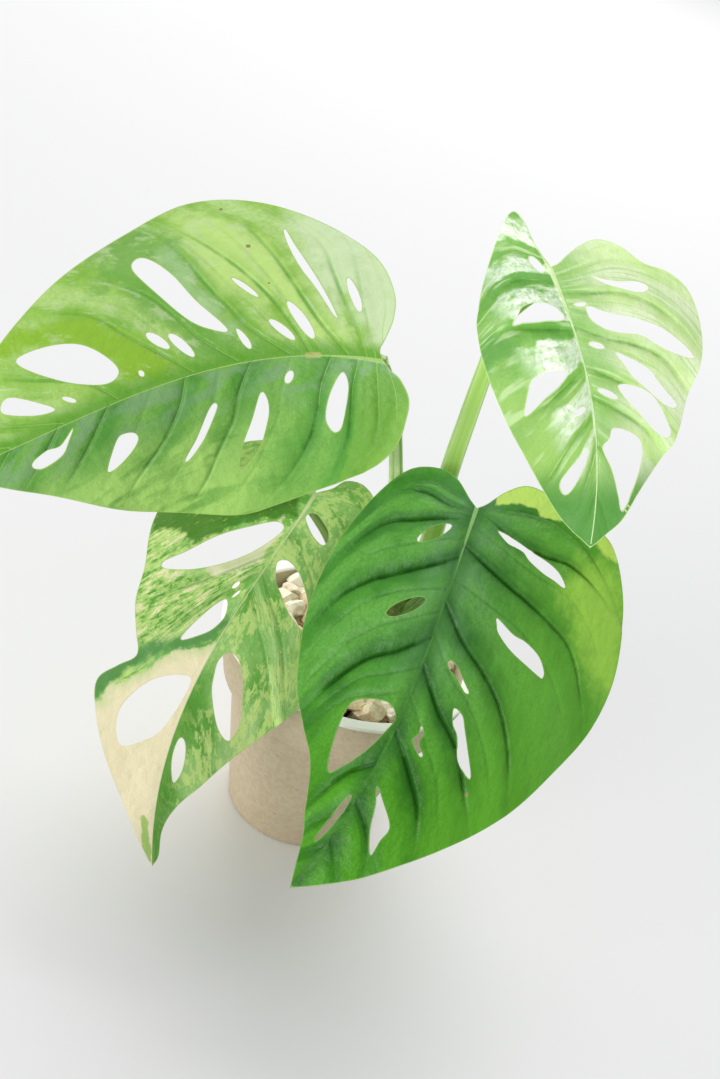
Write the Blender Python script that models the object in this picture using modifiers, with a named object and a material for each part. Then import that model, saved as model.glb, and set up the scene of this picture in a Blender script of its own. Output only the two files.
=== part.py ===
"""A young swiss-cheese vine, Monstera adansonii, growing in its pot.

Nodes: pot, substrate, stem, petiole_1 to petiole_4 and leaf_1 to leaf_4.
The origin is the middle of the pot's flat foot, +Z is up and the front is -Y.
Lengths are written in millimetres times MM, so every object is in metres.
A leaf is drawn flat first. Its stations run along the midrib from the base, and its
offsets run across it, positive on the right of someone who looks from base to tip.
"""
import math
import random

import bmesh
import bpy
import numpy as np
from mathutils import Vector, geometry

MM = 0.001
CUTTER_LENGTH = 100.0 * MM
GAP = 0.3 * MM                      # clearance between pieces that touch

# ---- pot ----
RIM_RADIUS = 52.5 * MM
POT_HEIGHT = 88.0 * MM
COLLAR_HEIGHT = 24.0 * MM
COLLAR_FOOT_RADIUS = 46.0 * MM      # outside, at the collar's lower edge
BODY_TOP_RADIUS = 42.4 * MM         # outside, just under the collar
BASE_RADIUS = 28.4 * MM
WALL = 5.6 * MM
FLOOR_THICKNESS = 5.0 * MM
CAVITY_FOOT_RADIUS = 25.0 * MM
INNER_STEP_BELOW = 2.0 * MM         # the cavity widens a little below and above the collar's foot
INNER_STEP_ABOVE = 3.0 * MM
POT_EDGE = 0.9 * MM                 # rounding of the pot's edges
POT_EDGE_ANGLE = 24                 # degrees; edges blunter than this are left alone
POT_SIDES = 48

# ---- substrate ----
SOIL_DROP = 7.0 * MM                # soil surface below the rim
SOIL_SIDES = 40
CHIP_COUNT = 74
CHIP_SIZE = (5.4 * MM, 8.4 * MM)    # half the length of a chip of bark or pumice
CHIP_SEED = 11
CHIP_WIDTH = (0.65, 0.95)           # shares of its half length
CHIP_HEIGHT = (0.45, 0.62)
CHIP_CORNER = (0.8, 1.0)            # how far in a corner of a chip may lie
CHIP_TILT = 0.5                     # radians
CHIP_LIFT = (0.05, 0.5)             # share of its height by which a chip stands out of the soil
CHIP_RIM_GAP = 0.8 * MM
STEM_HOLE_DEPTH = 30.0 * MM
STEM_HOLE_SIDES = 20
STEM_HOLE_GAP = 0.48 * MM

# ---- stem and petioles: routes and radii ----
STEM_ROUTE = [(8, 4, 52.5), (8, 4, 70), (8, 4, 84), (9.5, 4.4, 94), (12.5, 5.6, 107), (14.5, 7.6, 118)]
STEM_RADIUS = 4.4 * MM
STEM_NODE_REACH = 2.2 * MM
STEM_NODE_SWELL = 0.22              # share by which the stem swells at a node
STEM_NODE_HEIGHTS = (90 * MM, 99 * MM, 107 * MM, 116.5 * MM)

PETIOLES = [
    dict(name="petiole_1", route=[(12.2, 5.5, 105), (7.6, 5.2, 115), (2.6, 6.0, 131), (-1.8, 5.0, 148),
                                  (-7.4, 2.0, 168.6), (-14.6, -4.5, 192)],
         radii=(3.6, 2.7, 2.2), leaf="leaf_1"),
    dict(name="petiole_2", route=[(14.3, 7.3, 116.6), (15.4, 8.9, 130), (14.8, 10.0, 146), (12.6, 11.0, 167),
                                  (11.8, 12.0, 190), (11.4, 13.0, 211), (11.4, 13.6, 230)],
         radii=(4.3, 3.4, 2.2), leaf="leaf_2"),
    dict(name="petiole_3", route=[(10.6, 4.8, 98), (17.0, 2.4, 107), (22.0, 0.0, 122), (25.2, -3.6, 143)],
         radii=(3.3, 2.4, 2.0), leaf="leaf_3"),
    dict(name="petiole_4", route=[(8.8, 4.2, 90), (0.6, 2.0, 96.5), (-10.0, -0.2, 110), (-20.6, -1.0, 128.5)],
         radii=(2.9, 2.0, 1.7), leaf="leaf_4"),
]
PETIOLE_SEAT = 1.2                  # mm along the midrib from the leaf's base
PETIOLE_LEAD = (6.0, 2.4)           # mm behind the blade, where a petiole turns square to it
PETIOLE_STEPS = 4                   # points between two points of a route

# ---- leaves ----
BLADE_THICKNESS = 0.8 * MM
RIB_THICKNESS = 2.4 * MM            # blade and midrib together, at the base
RIB_HALF_WIDTH = 3.0                # mm
NOTCH = -1.0                        # station of the cleft between the two lobes, mm
CURL_STEP = 10.0                    # curl is degrees in this many mm

# Vein lines leave the midrib at a slope that grows towards the tip.
VEIN_SLOPE = 0.3
VEIN_SLOPE_RISE = 4.0
VEIN_FAN = 0.08                     # slope lost per mm by the veins that fan into the lobes
VEIN_CURVE = 0.004                  # per mm
VEIN_ROOT = 8.0                     # mm over which the fanned veins gather at the base

MESH_STEP = 6.5                     # mm between inner points across the blade
EDGE_STEP = 4.5                     # mm between points of the outline
PILLOW_RISE = 9.0                   # mm over which the pillows rise beside the midrib
PILLOW_FALL = 8.0                   # mm over which they sink again towards the margin
PILLOW_LEFT = 0.25                  # share of a pillow that is left on the margin
RIPPLE_REACH = 9.0                  # mm from the margin over which its waves die out
RIPPLE_START = 16.0                 # mm from the midrib where the waves are full
RIPPLE_SHIFT = 0.6                  # radians between a vein and the crest of a wave
EDGE_CLEAR = 2.3                    # mm kept free of inner points beside an edge

# right and left: outline from cleft to tip as (station, offset).
# holes: inner end, outer end, width at the middle, and how far the widest place lies outwards,
# or, for a hole that is no plain egg, the (station, offset) points that it passes through.
LEAVES = [
    dict(name="leaf_1", base=(-24, -14, 211), heading=(168, 217, 204), dip=(15, 25, 35), length=155,
         roll=-62, fold=12, curl=3.0, quilt=1.1, wave=1.0,
         right=[(1.2, 4), (0.5, 9), (0, 16), (2, 26), (9, 39), (22, 50.5), (37, 59), (52, 60), (69, 53.5),
                (94, 44.5), (118, 33), (137, 20), (149, 8)],
         left=[(-4, 2.5), (-8, 5), (-12, 11), (-12, 18), (-9.5, 28), (-2, 37), (9, 43.5), (23, 49.5),
               (41, 56), (58, 59), (77, 53.5), (101, 41.5), (122, 24), (138, 11), (149, 4)],
         veins_right=(-30, -16, -6, 0, 7, 16, 25, 36, 49, 65, 87, 108, 126),
         veins_left=(-34, -20, -9, -1, 19, 42, 63, 89, 114, 132),
         holes=[[(50, 12), (56, 14), (61, 18.5), (66, 27), (71.5, 39.5), (69.5, 43.5), (66, 42), (61.5, 35),
                 (57, 24)],
                (69.5, 10.8, 74.8, 18, 3.1, 0.1), (62.7, 5.8, 68.2, 15.5, 3.2, 0.1),
                [(87.5, 9.5), (93, 7), (103.5, 12), (113.5, 21), (115.5, 26), (106, 26), (96.5, 23),
                 (90.5, 17)],
                [(111.5, 6), (118, 6.8), (127, 11.5), (126, 15), (122.5, 15.3), (116.5, 11)],
                (104.2, 5.5, 107.8, 8.5, 1.6, 0.0), (80.7, 4.8, 81.3, 7, 1.7, 0.0),
                (39, 22, 45.5, 30, 1.8, 0.0), (44, 4.3, 47.2, 12, 2.3, -0.2),
                (29.3, 5.8, 36.8, 13.6, 2.8, 0.0), (23.2, 6, 30.8, 19.6, 3.4, -0.1),
                [(30.2, 47.5), (28, 41), (25, 33.8), (21.5, 26), (16.3, 14.2), (17.5, 15), (19.6, 18.6),
                 (23, 25), (26.5, 31.5), (29, 38.5), (30.3, 44.5)],
                (9.7, 16.5, 14.5, 29, 2.6, -0.1), (31, -5, 33.4, -9.2, 2.8, 0.0),
                [(12, -6), (10.5, -11), (11.5, -20), (13, -25.5), (16, -26.7), (19, -22.5), (18, -15),
                 (14, -6.5)],
                [(43, -11.5), (41, -14), (41, -19), (43.5, -26), (46.5, -32), (51, -36.5), (55, -39.3),
                 (55.3, -36), (53, -30), (47.5, -20.5)],
                [(59.3, -12.7), (61.8, -12.7), (69.5, -22.8), (75.5, -29.2), (74.3, -30), (67.5, -24.4),
                 (62, -17.3)],
                [(103.8, -21.5), (101, -22.3), (94, -19), (90, -15.5), (90.3, -12.7), (93.5, -11.4),
                 (97, -12.5)],
                [(109, -2.2), (115, -5.9), (120, -5.6), (125.5, -7.2), (126, -9.5), (123, -10.8), (116, -9.4),
                 (112, -5.6)]]),
    dict(name="leaf_2", base=(19.3, 4, 254.7), heading=(323, 347, 330), dip=(35, 60, 75), length=101,
         roll=60, fold=12, curl=3.0, quilt=1.8, wave=1.6,
         right=[(-10, 1.6), (-19.5, 2), (-24, 4.5), (-20, 11), (-11, 21.5), (-1, 29.5), (10, 32.5), (24, 33),
                (43, 31), (58, 27.5), (76, 20.5), (90, 13), (97, 5.5)],
         left=[(-1, 3), (-2.5, 7), (-3.7, 12), (-3.5, 18), (1, 24), (9, 30), (15, 38), (23, 44.5), (34, 48),
               (43, 47.5), (53, 41), (61.5, 36), (67, 31.5), (76, 22.5), (83, 15.2), (91.5, 9.5),
               (96.5, 4.5)],
         veins_right=(-35, -23.5, -12, -3, 18.5, 42, 53.5, 74, 88),
         veins_left=(-25.5, -13.5, -6, 1, 9.5, 22.5, 33, 48.5, 72, 88),
         holes=[(-0.5, 2.5, -9, 5.5, 2.5, 0.0), (18.5, 3, 5, 16.5, 5.0, 0.1),
                [(34, 6), (32.5, 13), (33.5, 17), (36.5, 19.7), (48, 23), (42, 15), (38, 9)],
                (48.5, 2.5, 50, 7, 2.6, 0.0),
                [(63, 4), (66, 3.4), (72, 5.6), (80.5, 9.7), (80.5, 12), (75, 12)],
                (7.2, -11.5, 18.8, -29.8, 3.2, 0.2), (12.5, -3, 15.5, -7, 1.8, 0.0),
                (16.5, -7, 43, -41, 6.8, 0.1), (27.3, -3.5, 30.5, -8.5, 1.8, 0.0),
                (34, -11, 58, -33, 7.2, -0.2), (43, -2.8, 48.2, -9.6, 2.1, 0.0),
                (46, -10.8, 66.5, -27.5, 6.4, -0.25),
                [(59, -6), (61, -11.3), (64.5, -16.3), (70, -18.2), (76, -15.8), (87, -9.8), (77, -7.2),
                 (69.5, -4.8), (62.5, -3.2)]]),
    dict(name="leaf_3", base=(25, -15, 169.7), heading=(269, 263.5, 229), dip=(38, 45, 52), length=146,
         roll=4, fold=12, curl=3.0, quilt=1.7, wave=0.8,
         right=[(-4, 3.5), (-10.5, 10.5), (-13, 18.5), (-10.5, 28.5), (-1, 36.5), (13, 43), (31, 47.5),
                (50, 49), (67, 46.5), (84, 41.5), (96.5, 33.5), (107, 24.5), (121.5, 16.5), (135.5, 7.5),
                (143.5, 2)],
         left=[(-4, 3), (-11.5, 8.5), (-17, 16), (-17, 28), (-15, 41.5), (-12, 54), (-0.5, 63.5), (15, 70),
               (35.5, 72.5), (55, 68), (73.5, 57.5), (92, 46), (110.5, 30.5), (127, 17), (139, 6.5)],
         veins_right=(-34, -21, -10, 0, 16, 27, 45, 61, 94, 119, 135),
         veins_left=(-42, -28, -16, -6, 13, 38, 52, 65, 82, 108, 125),
         holes=[(7.8, 6.7, 16.7, 16.8, 4.6, 0.0), (37, 7.2, 46, 18.8, 5.0, 0.0),
                [(75.7, 7), (79.2, 2.1), (84.6, 3), (94, 6.3), (102.6, 11.3), (107, 15.4), (97.7, 18.8),
                 (85, 19.7), (78.8, 17.3)],
                (109.5, 2.8, 129.4, 4.6, 2.6, 0.1), (4, -10, 13, -40.4, 4.2, 0.2),
                (34.4, -19.2, 46.5, -42.5, 5.6, 0.0), (54.7, -6.3, 61.3, -19, 2.6, -0.2),
                (78.6, -6.7, 86.6, -11.2, 2.6, 0.1),
                [(68.6, -15.3), (69.6, -19), (73.3, -21.5), (78.5, -25), (86, -30), (85.5, -27), (82.5, -23),
                 (76.3, -20), (73.3, -17)],
                [(102.5, -3.3), (106.2, -8.4), (111.2, -14), (116.2, -13.7), (121.5, -13.7), (116.5, -9.5),
                 (107.7, -6.2)]]),
    dict(name="leaf_4", base=(-31.3, -7, 148.8), heading=(257.5, 259, 308), dip=(35, 45, 55), length=146.7,
         roll=-10, fold=12, curl=3.0, quilt=1.0, wave=1.2,
         right=[(-6, 3.5), (-12.5, 10), (-14, 22.5), (-6, 38), (10.5, 48), (24.5, 52), (37.5, 50.5),
                (53, 41.5), (65, 36), (74, 29), (81, 24), (86.5, 28.5), (92.5, 33), (100.5, 29.5),
                (113.5, 20.5), (125.5, 11.5), (137.5, 5)],
         left=[(-6.5, 4.5), (-12, 7.5), (-14.5, 14.5), (-11, 23), (-1, 32.5), (14.5, 40), (35, 45),
               (55.5, 43), (74, 38), (94.5, 29), (114.5, 17.5), (125.5, 9), (134.5, 4), (143.5, 3)],
         veins_right=(-34, -20, -9, 0, 13, 36, 46, 65, 97, 118, 132),
         veins_left=(-28, -16, -7, 0, 17, 42, 54, 83, 113, 130),
         holes=[[(17, 3), (16.3, 7), (22, 13.7), (31, 22.7), (42, 30), (49.2, 35.7), (51, 33), (47.2, 24),
                 (40.5, 15.4), (32, 8.4), (22.8, 4)],
                [(50.7, 6), (54.3, 3.1), (58.7, 2.9), (64.3, 5.4), (70.3, 12.5), (58, 9.6)],
                (42.7, 5.1, 46, 6.1, 1.5, 0.0),
                [(80.6, 3.4), (83, 1.4), (92.6, 2.3), (101, 4.8), (105.5, 9), (109, 16.3), (102.6, 20.5),
                 (96, 20.4), (88, 16), (83, 10)],
                [(66.2, -6), (67.7, -10.7), (73.7, -15.3), (79.7, -18.2), (86.2, -21), (91.6, -21.5),
                 (96.5, -20), (93, -14.2), (82.3, -7), (76.2, -4.8), (70.7, -3.7)],
                [(101, -3), (103.5, -2), (110, -2.3), (117.2, -5), (113, -7), (107, -6.6), (102.5, -5)],
                [(29.5, -2.5), (26.7, -5), (27.8, -10.8), (30.6, -15), (34.6, -19.6), (39.2, -22.7),
                 (44.2, -24.4), (44, -20.6), (41.7, -15.2), (38.2, -10), (35.3, -5.8)],
                [(5.8, -5), (6.7, -8.3), (8.6, -11.5), (11.5, -13.4), (14.3, -12.5), (13.8, -8.4), (12, -5),
                 (9.4, -1.8), (7, -2.3)]]),
]


# ---- scene and materials ----
def clear_scene():
    for old in list(bpy.data.objects):
        bpy.data.objects.remove(old, do_unlink=True)


def new_collection(name):
    collection = bpy.data.collections.new(name)
    bpy.context.scene.collection.children.link(collection)
    return collection


def material(name, color, roughness):
    made = bpy.data.materials.new(name)
    made.use_nodes = True
    shader = made.node_tree.nodes["Principled BSDF"]
    shader.inputs["Base Color"].default_value = (*color, 1.0)
    shader.inputs["Roughness"].default_value = roughness
    shader.inputs["Metallic"].default_value = 0.0
    return made


def add_object(name, mesh, collection, finish=None):
    made = bpy.data.objects.new(name, mesh)
    collection.objects.link(made)
    if finish is not None:
        mesh.materials.clear()
        mesh.materials.append(finish)
    return made


def make_cutter(cutter):
    cutter.hide_render = True
    cutter.display_type = "WIRE"
    return cutter


def apply_modifiers(target):
    """Turn what the modifiers make into the object's own mesh."""
    evaluated = target.evaluated_get(bpy.context.evaluated_depsgraph_get())
    mesh = bpy.data.meshes.new_from_object(evaluated)
    target.modifiers.clear()
    target.data = mesh


def smooth_path(points, steps):
    """Points on a smooth curve through the given ones, with steps points to each span."""
    points = [Vector(p) for p in points]
    ends = [2 * points[0] - points[1], *points, 2 * points[-1] - points[-2]]
    path = []
    for a, b, c, d in zip(ends, ends[1:], ends[2:], ends[3:]):
        for i in range(steps):
            u = i / steps
            path.append(0.5 * (2 * b + (c - a) * u + (2 * a - 5 * b + 4 * c - d) * u**2
                               + (3 * b - a - 3 * c + d) * u**3))
    return path + [points[-1]]


# ---- turned pieces ----
def turned(name, profile, sides, collection, finish):
    """Turn a profile of (radius, height) about Z; its outer side runs from top to bottom."""
    mesh = bpy.data.meshes.new(name)
    corners = [(radius, 0.0, height) for radius, height in profile]
    mesh.from_pydata(corners, [(i, i + 1) for i in range(len(corners) - 1)], [])
    made = add_object(name, mesh, collection, finish)
    screw = made.modifiers.new("turn", "SCREW")
    screw.angle = math.tau
    screw.steps = sides
    screw.render_steps = sides
    screw.use_merge_vertices = True
    screw.merge_threshold = 0.00005
    return made


def inner_profile():
    """The pot's cavity as (radius, height), from the floor to the rim."""
    collar_foot = POT_HEIGHT - COLLAR_HEIGHT
    return [(CAVITY_FOOT_RADIUS, FLOOR_THICKNESS),
            (BODY_TOP_RADIUS - WALL, collar_foot - INNER_STEP_BELOW),
            (COLLAR_FOOT_RADIUS - WALL, collar_foot + INNER_STEP_ABOVE),
            (RIM_RADIUS - WALL, POT_HEIGHT)]


def make_pot(collection):
    collar_foot = POT_HEIGHT - COLLAR_HEIGHT
    outer = [(RIM_RADIUS, POT_HEIGHT), (COLLAR_FOOT_RADIUS, collar_foot), (BODY_TOP_RADIUS, collar_foot),
             (BASE_RADIUS, 0.0), (0.0, 0.0)]
    profile = [(0.0, FLOOR_THICKNESS), *inner_profile(), *outer]
    pot = turned("pot", profile, POT_SIDES, collection, material("beige_ceramic", (0.62, 0.54, 0.43), 0.75))
    bevel = pot.modifiers.new("soft_edges", "BEVEL")
    bevel.width = POT_EDGE
    bevel.segments = 2
    bevel.limit_method = "ANGLE"
    bevel.angle_limit = math.radians(POT_EDGE_ANGLE)
    apply_modifiers(pot)
    return pot


def cavity_radius(height):
    """Inside radius of the pot at a height."""
    radii, heights = zip(*inner_profile())
    return float(np.interp(height, heights, radii))


def make_substrate(collection, cutters):
    """A plug that fills the pot, with angular chips on top and a plain hole for the stem."""
    top = POT_HEIGHT - SOIL_DROP
    wall = [(radius - GAP, height) for radius, height in inner_profile()[:-1]]
    wall[0] = (wall[0][0], FLOOR_THICKNESS + GAP)
    profile = [(0.0, top), (cavity_radius(top) - GAP, top), *reversed(wall), (0.0, wall[0][1])]
    soil = turned("substrate", profile, SOIL_SIDES, collection,
                  material("bark_and_pumice", (0.66, 0.54, 0.38), 0.9))
    apply_modifiers(soil)

    chips = new_collection("chips")
    stem_x, stem_y = STEM_ROUTE[0][0] * MM, STEM_ROUTE[0][1] * MM
    draw = random.Random(CHIP_SEED)
    golden = math.pi * (3 - math.sqrt(5))
    reach = cavity_radius(top)
    for i in range(CHIP_COUNT):
        size = draw.uniform(*CHIP_SIZE)
        distance = (reach - size - CHIP_RIM_GAP) * math.sqrt((i + 0.5) / CHIP_COUNT)
        angle = i * golden + draw.uniform(-0.2, 0.2)
        x, y = distance * math.cos(angle), distance * math.sin(angle)
        if math.hypot(x - stem_x, y - stem_y) < STEM_RADIUS + size:
            continue
        bpy.ops.mesh.primitive_ico_sphere_add(subdivisions=1, radius=1.0)
        chip = bpy.context.object
        for vertex in chip.data.vertices:
            vertex.co *= draw.uniform(*CHIP_CORNER)
        flat = draw.uniform(*CHIP_HEIGHT)
        chip.scale = (size, size * draw.uniform(*CHIP_WIDTH), size * flat)
        chip.rotation_euler = (draw.uniform(-CHIP_TILT, CHIP_TILT), draw.uniform(-CHIP_TILT, CHIP_TILT),
                               draw.uniform(0, math.tau))
        chip.location = (x, y, top + size * flat * draw.uniform(*CHIP_LIFT))
        for owner in list(chip.users_collection):
            owner.objects.unlink(chip)
        chips.objects.link(chip)

    union = soil.modifiers.new("chips", "BOOLEAN")
    union.operation = "UNION"
    union.operand_type = "COLLECTION"
    union.collection = chips
    union.solver = "EXACT"
    apply_modifiers(soil)
    for chip in list(chips.objects):
        bpy.data.objects.remove(chip, do_unlink=True)
    bpy.data.collections.remove(chips)

    hole_bottom = top - STEM_HOLE_DEPTH
    bpy.ops.mesh.primitive_cylinder_add(vertices=STEM_HOLE_SIDES, radius=STEM_RADIUS + STEM_HOLE_GAP,
                                        depth=CUTTER_LENGTH,
                                        location=(stem_x, stem_y, hole_bottom + CUTTER_LENGTH / 2))
    hole = make_cutter(bpy.context.object)
    hole.name = "stem_hole"
    for owner in list(hole.users_collection):
        owner.objects.unlink(hole)
    cutters.objects.link(hole)
    cut = soil.modifiers.new("stem_hole", "BOOLEAN")
    cut.object = hole
    apply_modifiers(soil)
    keep_largest_body(soil.data)
    return soil


def keep_largest_body(mesh):
    """Drop loose scraps, so that one body is left."""
    work = bmesh.new()
    work.from_mesh(mesh)
    left = set(work.verts)
    bodies = []
    while left:
        body, front = set(), [left.pop()]
        while front:
            vertex = front.pop()
            body.add(vertex)
            for edge in vertex.link_edges:
                other = edge.other_vert(vertex)
                if other in left:
                    left.remove(other)
                    front.append(other)
        bodies.append(body)
    bodies.sort(key=len, reverse=True)
    scraps = [vertex for body in bodies[1:] for vertex in body]
    bmesh.ops.delete(work, geom=scraps, context="VERTS")
    work.to_mesh(mesh)
    work.free()


# ---- stem and petioles ----
def tube(name, path, radii, collection, finish=None, resolution=2):
    """A closed tube along a path in metres, with a radius at each of its points."""
    curve = bpy.data.curves.new(name, "CURVE")
    curve.dimensions = "3D"
    curve.bevel_depth = 1.0
    curve.bevel_resolution = resolution
    curve.use_fill_caps = True
    spline = curve.splines.new("POLY")
    spline.points.add(len(path) - 1)
    for point, place, radius in zip(spline.points, path, radii):
        point.co = (*place, 1.0)
        point.radius = radius
    guide = bpy.data.objects.new(name + "_route", curve)
    collection.objects.link(guide)
    evaluated = guide.evaluated_get(bpy.context.evaluated_depsgraph_get())
    mesh = bpy.data.meshes.new_from_object(evaluated)
    bpy.data.objects.remove(guide, do_unlink=True)
    work = bmesh.new()
    work.from_mesh(mesh)
    bmesh.ops.remove_doubles(work, verts=work.verts, dist=0.00002)
    bmesh.ops.recalc_face_normals(work, faces=work.faces)
    work.to_mesh(mesh)
    work.free()
    mesh.name = name
    mesh.shade_smooth()
    return add_object(name, mesh, collection, finish)


def stem_path():
    return [p * MM for p in smooth_path(STEM_ROUTE, 5)]


def stem_radius(height):
    """The stem's radius at a height: a little thicker at each node."""
    swell = sum(math.exp(-((height - node) / STEM_NODE_REACH)**2) for node in STEM_NODE_HEIGHTS)
    return STEM_RADIUS * (1.0 + STEM_NODE_SWELL * min(swell, 1.0))


def make_stem(collection):
    path = stem_path()
    radii = [stem_radius(point.z) for point in path]
    return tube("stem", path, radii, collection, material("stem_green", (0.16, 0.27, 0.06), 0.5), 3)


def stem_clearance(cutters):
    """The stem with room about it, which cuts the foot of each petiole to a saddle."""
    path = stem_path()
    radii = [stem_radius(point.z) + GAP for point in path]
    path[-1] += (path[-1] - path[-2]).normalized() * GAP
    return make_cutter(tube("stem_clearance", path, radii, cutters, None, 3))


def make_petiole(petiole, collection, clearance):
    """A leaf stalk from its node on the stem to the underside of its leaf's base."""
    leaf = next(one for one in LEAVES if one["name"] == petiole["leaf"])
    place, along, across, up = rib_frame(leaf, np.array(PETIOLE_SEAT))
    rib = RIB_THICKNESS / MM + GAP / MM
    end = Vector(place - up * rib)
    lead = [end - Vector(up) * behind for behind in PETIOLE_LEAD]
    route = [Vector(p) for p in petiole["route"]] + lead + [end]
    path = [p * MM for p in smooth_path(route, PETIOLE_STEPS)]
    shares = np.linspace(0.0, 1.0, len(path))
    radii = np.interp(shares, (0.0, 0.35, 1.0), petiole["radii"]) * MM
    made = tube(petiole["name"], path, radii, collection,
                material(petiole["name"] + "_green", (0.30, 0.46, 0.12), 0.45))
    cut = made.modifiers.new("saddle", "BOOLEAN")
    cut.object = clearance
    apply_modifiers(made)
    keep_largest_body(made.data)
    return made


# ---- the form of a leaf ----
def bent(values, share):
    """A value that passes through its base, middle and tip values."""
    base, middle, tip = values
    share = np.clip(share, 0.0, 1.05)
    return base + (4 * middle - 3 * base - tip) * share + 2 * (base + tip - 2 * middle) * share**2


def rib_direction(leaf, share):
    heading = np.radians(bent(leaf["heading"], share))
    dip = np.radians(bent(leaf["dip"], share))
    return np.stack([np.cos(heading) * np.cos(dip), np.sin(heading) * np.cos(dip), -np.sin(dip)], -1)


def rib_frame(leaf, station):
    """Place on the midrib and the directions along, across and up out of the blade."""
    length = leaf["length"]
    share = station / length
    grid = np.linspace(0.0, 1.0, 201)
    steps = rib_direction(leaf, (grid[1:] + grid[:-1]) / 2) * (length / 200)
    spine = np.array(leaf["base"], float) + np.vstack([np.zeros(3), np.cumsum(steps, axis=0)])
    place = np.stack([np.interp(share, grid, spine[:, k]) for k in range(3)], -1)
    place = place + np.minimum(share, 0.0)[..., None] * length * rib_direction(leaf, np.array(0.0))
    along = rib_direction(leaf, share)
    heading = np.radians(bent(leaf["heading"], share))
    level = np.stack([np.sin(heading), -np.cos(heading), np.zeros_like(heading)], -1)
    up = np.cross(level, along)
    roll = math.radians(leaf["roll"])
    across = math.cos(roll) * level - math.sin(roll) * up
    return place, along, across, math.cos(roll) * up + math.sin(roll) * level


def vein_line(leaf, root, offset):
    """Station of the vein that leaves the midrib at root, at a distance from the midrib."""
    slope = VEIN_SLOPE + VEIN_SLOPE_RISE * (np.maximum(root, 0.0) / leaf["length"])**2
    slope = slope + VEIN_FAN * np.minimum(root, 0.0)
    gather = np.where(root < 0.0, 1.0 - np.exp(-offset / VEIN_ROOT), 1.0)
    return root * gather + slope * offset + VEIN_CURVE * offset**2


def vein_phase(leaf, station, offset):
    """How many veins lie between the leaf's hindmost one and a point; whole on a vein."""
    distance = np.abs(offset)
    low = np.full(np.shape(station), -90.0)
    high = np.full(np.shape(station), leaf["length"] + 40.0)
    for _ in range(30):
        middle = (low + high) / 2
        before = vein_line(leaf, middle, distance) < station
        low = np.where(before, middle, low)
        high = np.where(before, high, middle)
    veins = [np.array(leaf[side], float) for side in ("veins_right", "veins_left")]
    phases = [np.interp(low, v, np.arange(len(v))) for v in veins]
    return np.where(offset >= 0.0, phases[0], phases[1])


def blade_surface(leaf, station, offset, edge):
    """Points of the blade's upper face, in millimetres; edge is the distance to the margin."""
    place, along, across, up = rib_frame(leaf, station)
    distance = np.abs(offset)
    fold = math.radians(leaf["fold"])
    curl = math.radians(leaf["curl"]) / CURL_STEP
    out = (np.sin(fold + curl * distance) - math.sin(fold)) / curl
    drop = (np.cos(fold + curl * distance) - math.cos(fold)) / curl
    phase = vein_phase(leaf, station, offset)
    pillow = (0.5 - 0.5 * np.cos(math.tau * phase)) * np.clip(distance / PILLOW_RISE, 0.0, 1.0)
    pillow = pillow * np.clip(edge / PILLOW_FALL, PILLOW_LEFT, 1.0)
    ripple = np.sin(math.pi * phase + RIPPLE_SHIFT) * np.exp(-edge / RIPPLE_REACH)
    ripple = ripple * np.clip(distance / RIPPLE_START, 0.0, 1.0)
    lift = drop + leaf["quilt"] * pillow + leaf["wave"] * ripple
    return place + (np.sign(offset) * out)[..., None] * across + lift[..., None] * up


# ---- the outline and the holes of a leaf, drawn flat ----
def even_points(points, step):
    """The same line with points about one step apart, and its ends kept."""
    points = np.array([tuple(p)[:2] for p in points])
    lengths = np.concatenate([[0.0], np.cumsum(np.hypot(*np.diff(points, axis=0).T))])
    count = max(2, round(lengths[-1] / step) + 1)
    marks = np.linspace(0.0, lengths[-1], count)
    return np.stack([np.interp(marks, lengths, points[:, k]) for k in range(2)], -1)


def outline_loop(leaf, step):
    tip = (leaf["length"], 0.0)
    halves = []
    for side, sign in (("right", 1.0), ("left", -1.0)):
        points = [(NOTCH, 0.0), *leaf[side], tip]
        path = smooth_path([(s, sign * t, 0.0) for s, t in points], 8)
        halves.append(even_points(path, step))
    return np.vstack([halves[0], halves[1][-2:0:-1]])


def hole_loop(hole, step):
    """A smooth loop through the hole's points, or an egg between its inner and outer end."""
    if isinstance(hole, list):
        path = smooth_path([(s, t, 0.0) for s, t in hole * 3], 8)
        one_turn = path[8 * len(hole):16 * len(hole) + 1]
        return even_points(one_turn, 0.8 * step)[:-1]
    s0, t0, s1, t1, width, egg = hole
    axis = np.array([s1 - s0, t1 - t0]) / 2
    half = math.hypot(*axis)
    normal = np.array([-axis[1], axis[0]]) / half
    girth = 2 * half + 1.3 * width
    count = max(7, round(2 * girth / 2.2 / step))
    turn = np.arange(count) * math.tau / count
    wide = np.sin(turn) * (1.0 + egg * np.cos(turn))
    centre = np.array([(s0 + s1) / 2, (t0 + t1) / 2])
    return centre + np.cos(turn)[:, None] * axis + (wide * width / 2)[:, None] * normal


def loop_distance(points, loop):
    """Distance of each point to a closed loop."""
    start, side = loop, np.roll(loop, -1, axis=0) - loop
    nearest = np.full(len(points), 1e9)
    for a, d in zip(start, side):
        u = np.clip(((points - a) @ d) / (d @ d), 0.0, 1.0)
        nearest = np.minimum(nearest, np.hypot(*(points - a - u[:, None] * d).T))
    return nearest


def inside(points, loop):
    """Which points lie inside a closed loop."""
    x, y = points[:, 0], points[:, 1]
    result = np.zeros(len(points), bool)
    for (x0, y0), (x1, y1) in zip(loop, np.roll(loop, -1, axis=0)):
        if y0 != y1:
            crosses = (y0 > y) != (y1 > y)
            result ^= crosses & (x < (x1 - x0) * (y - y0) / (y1 - y0) + x0)
    return result


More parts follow.
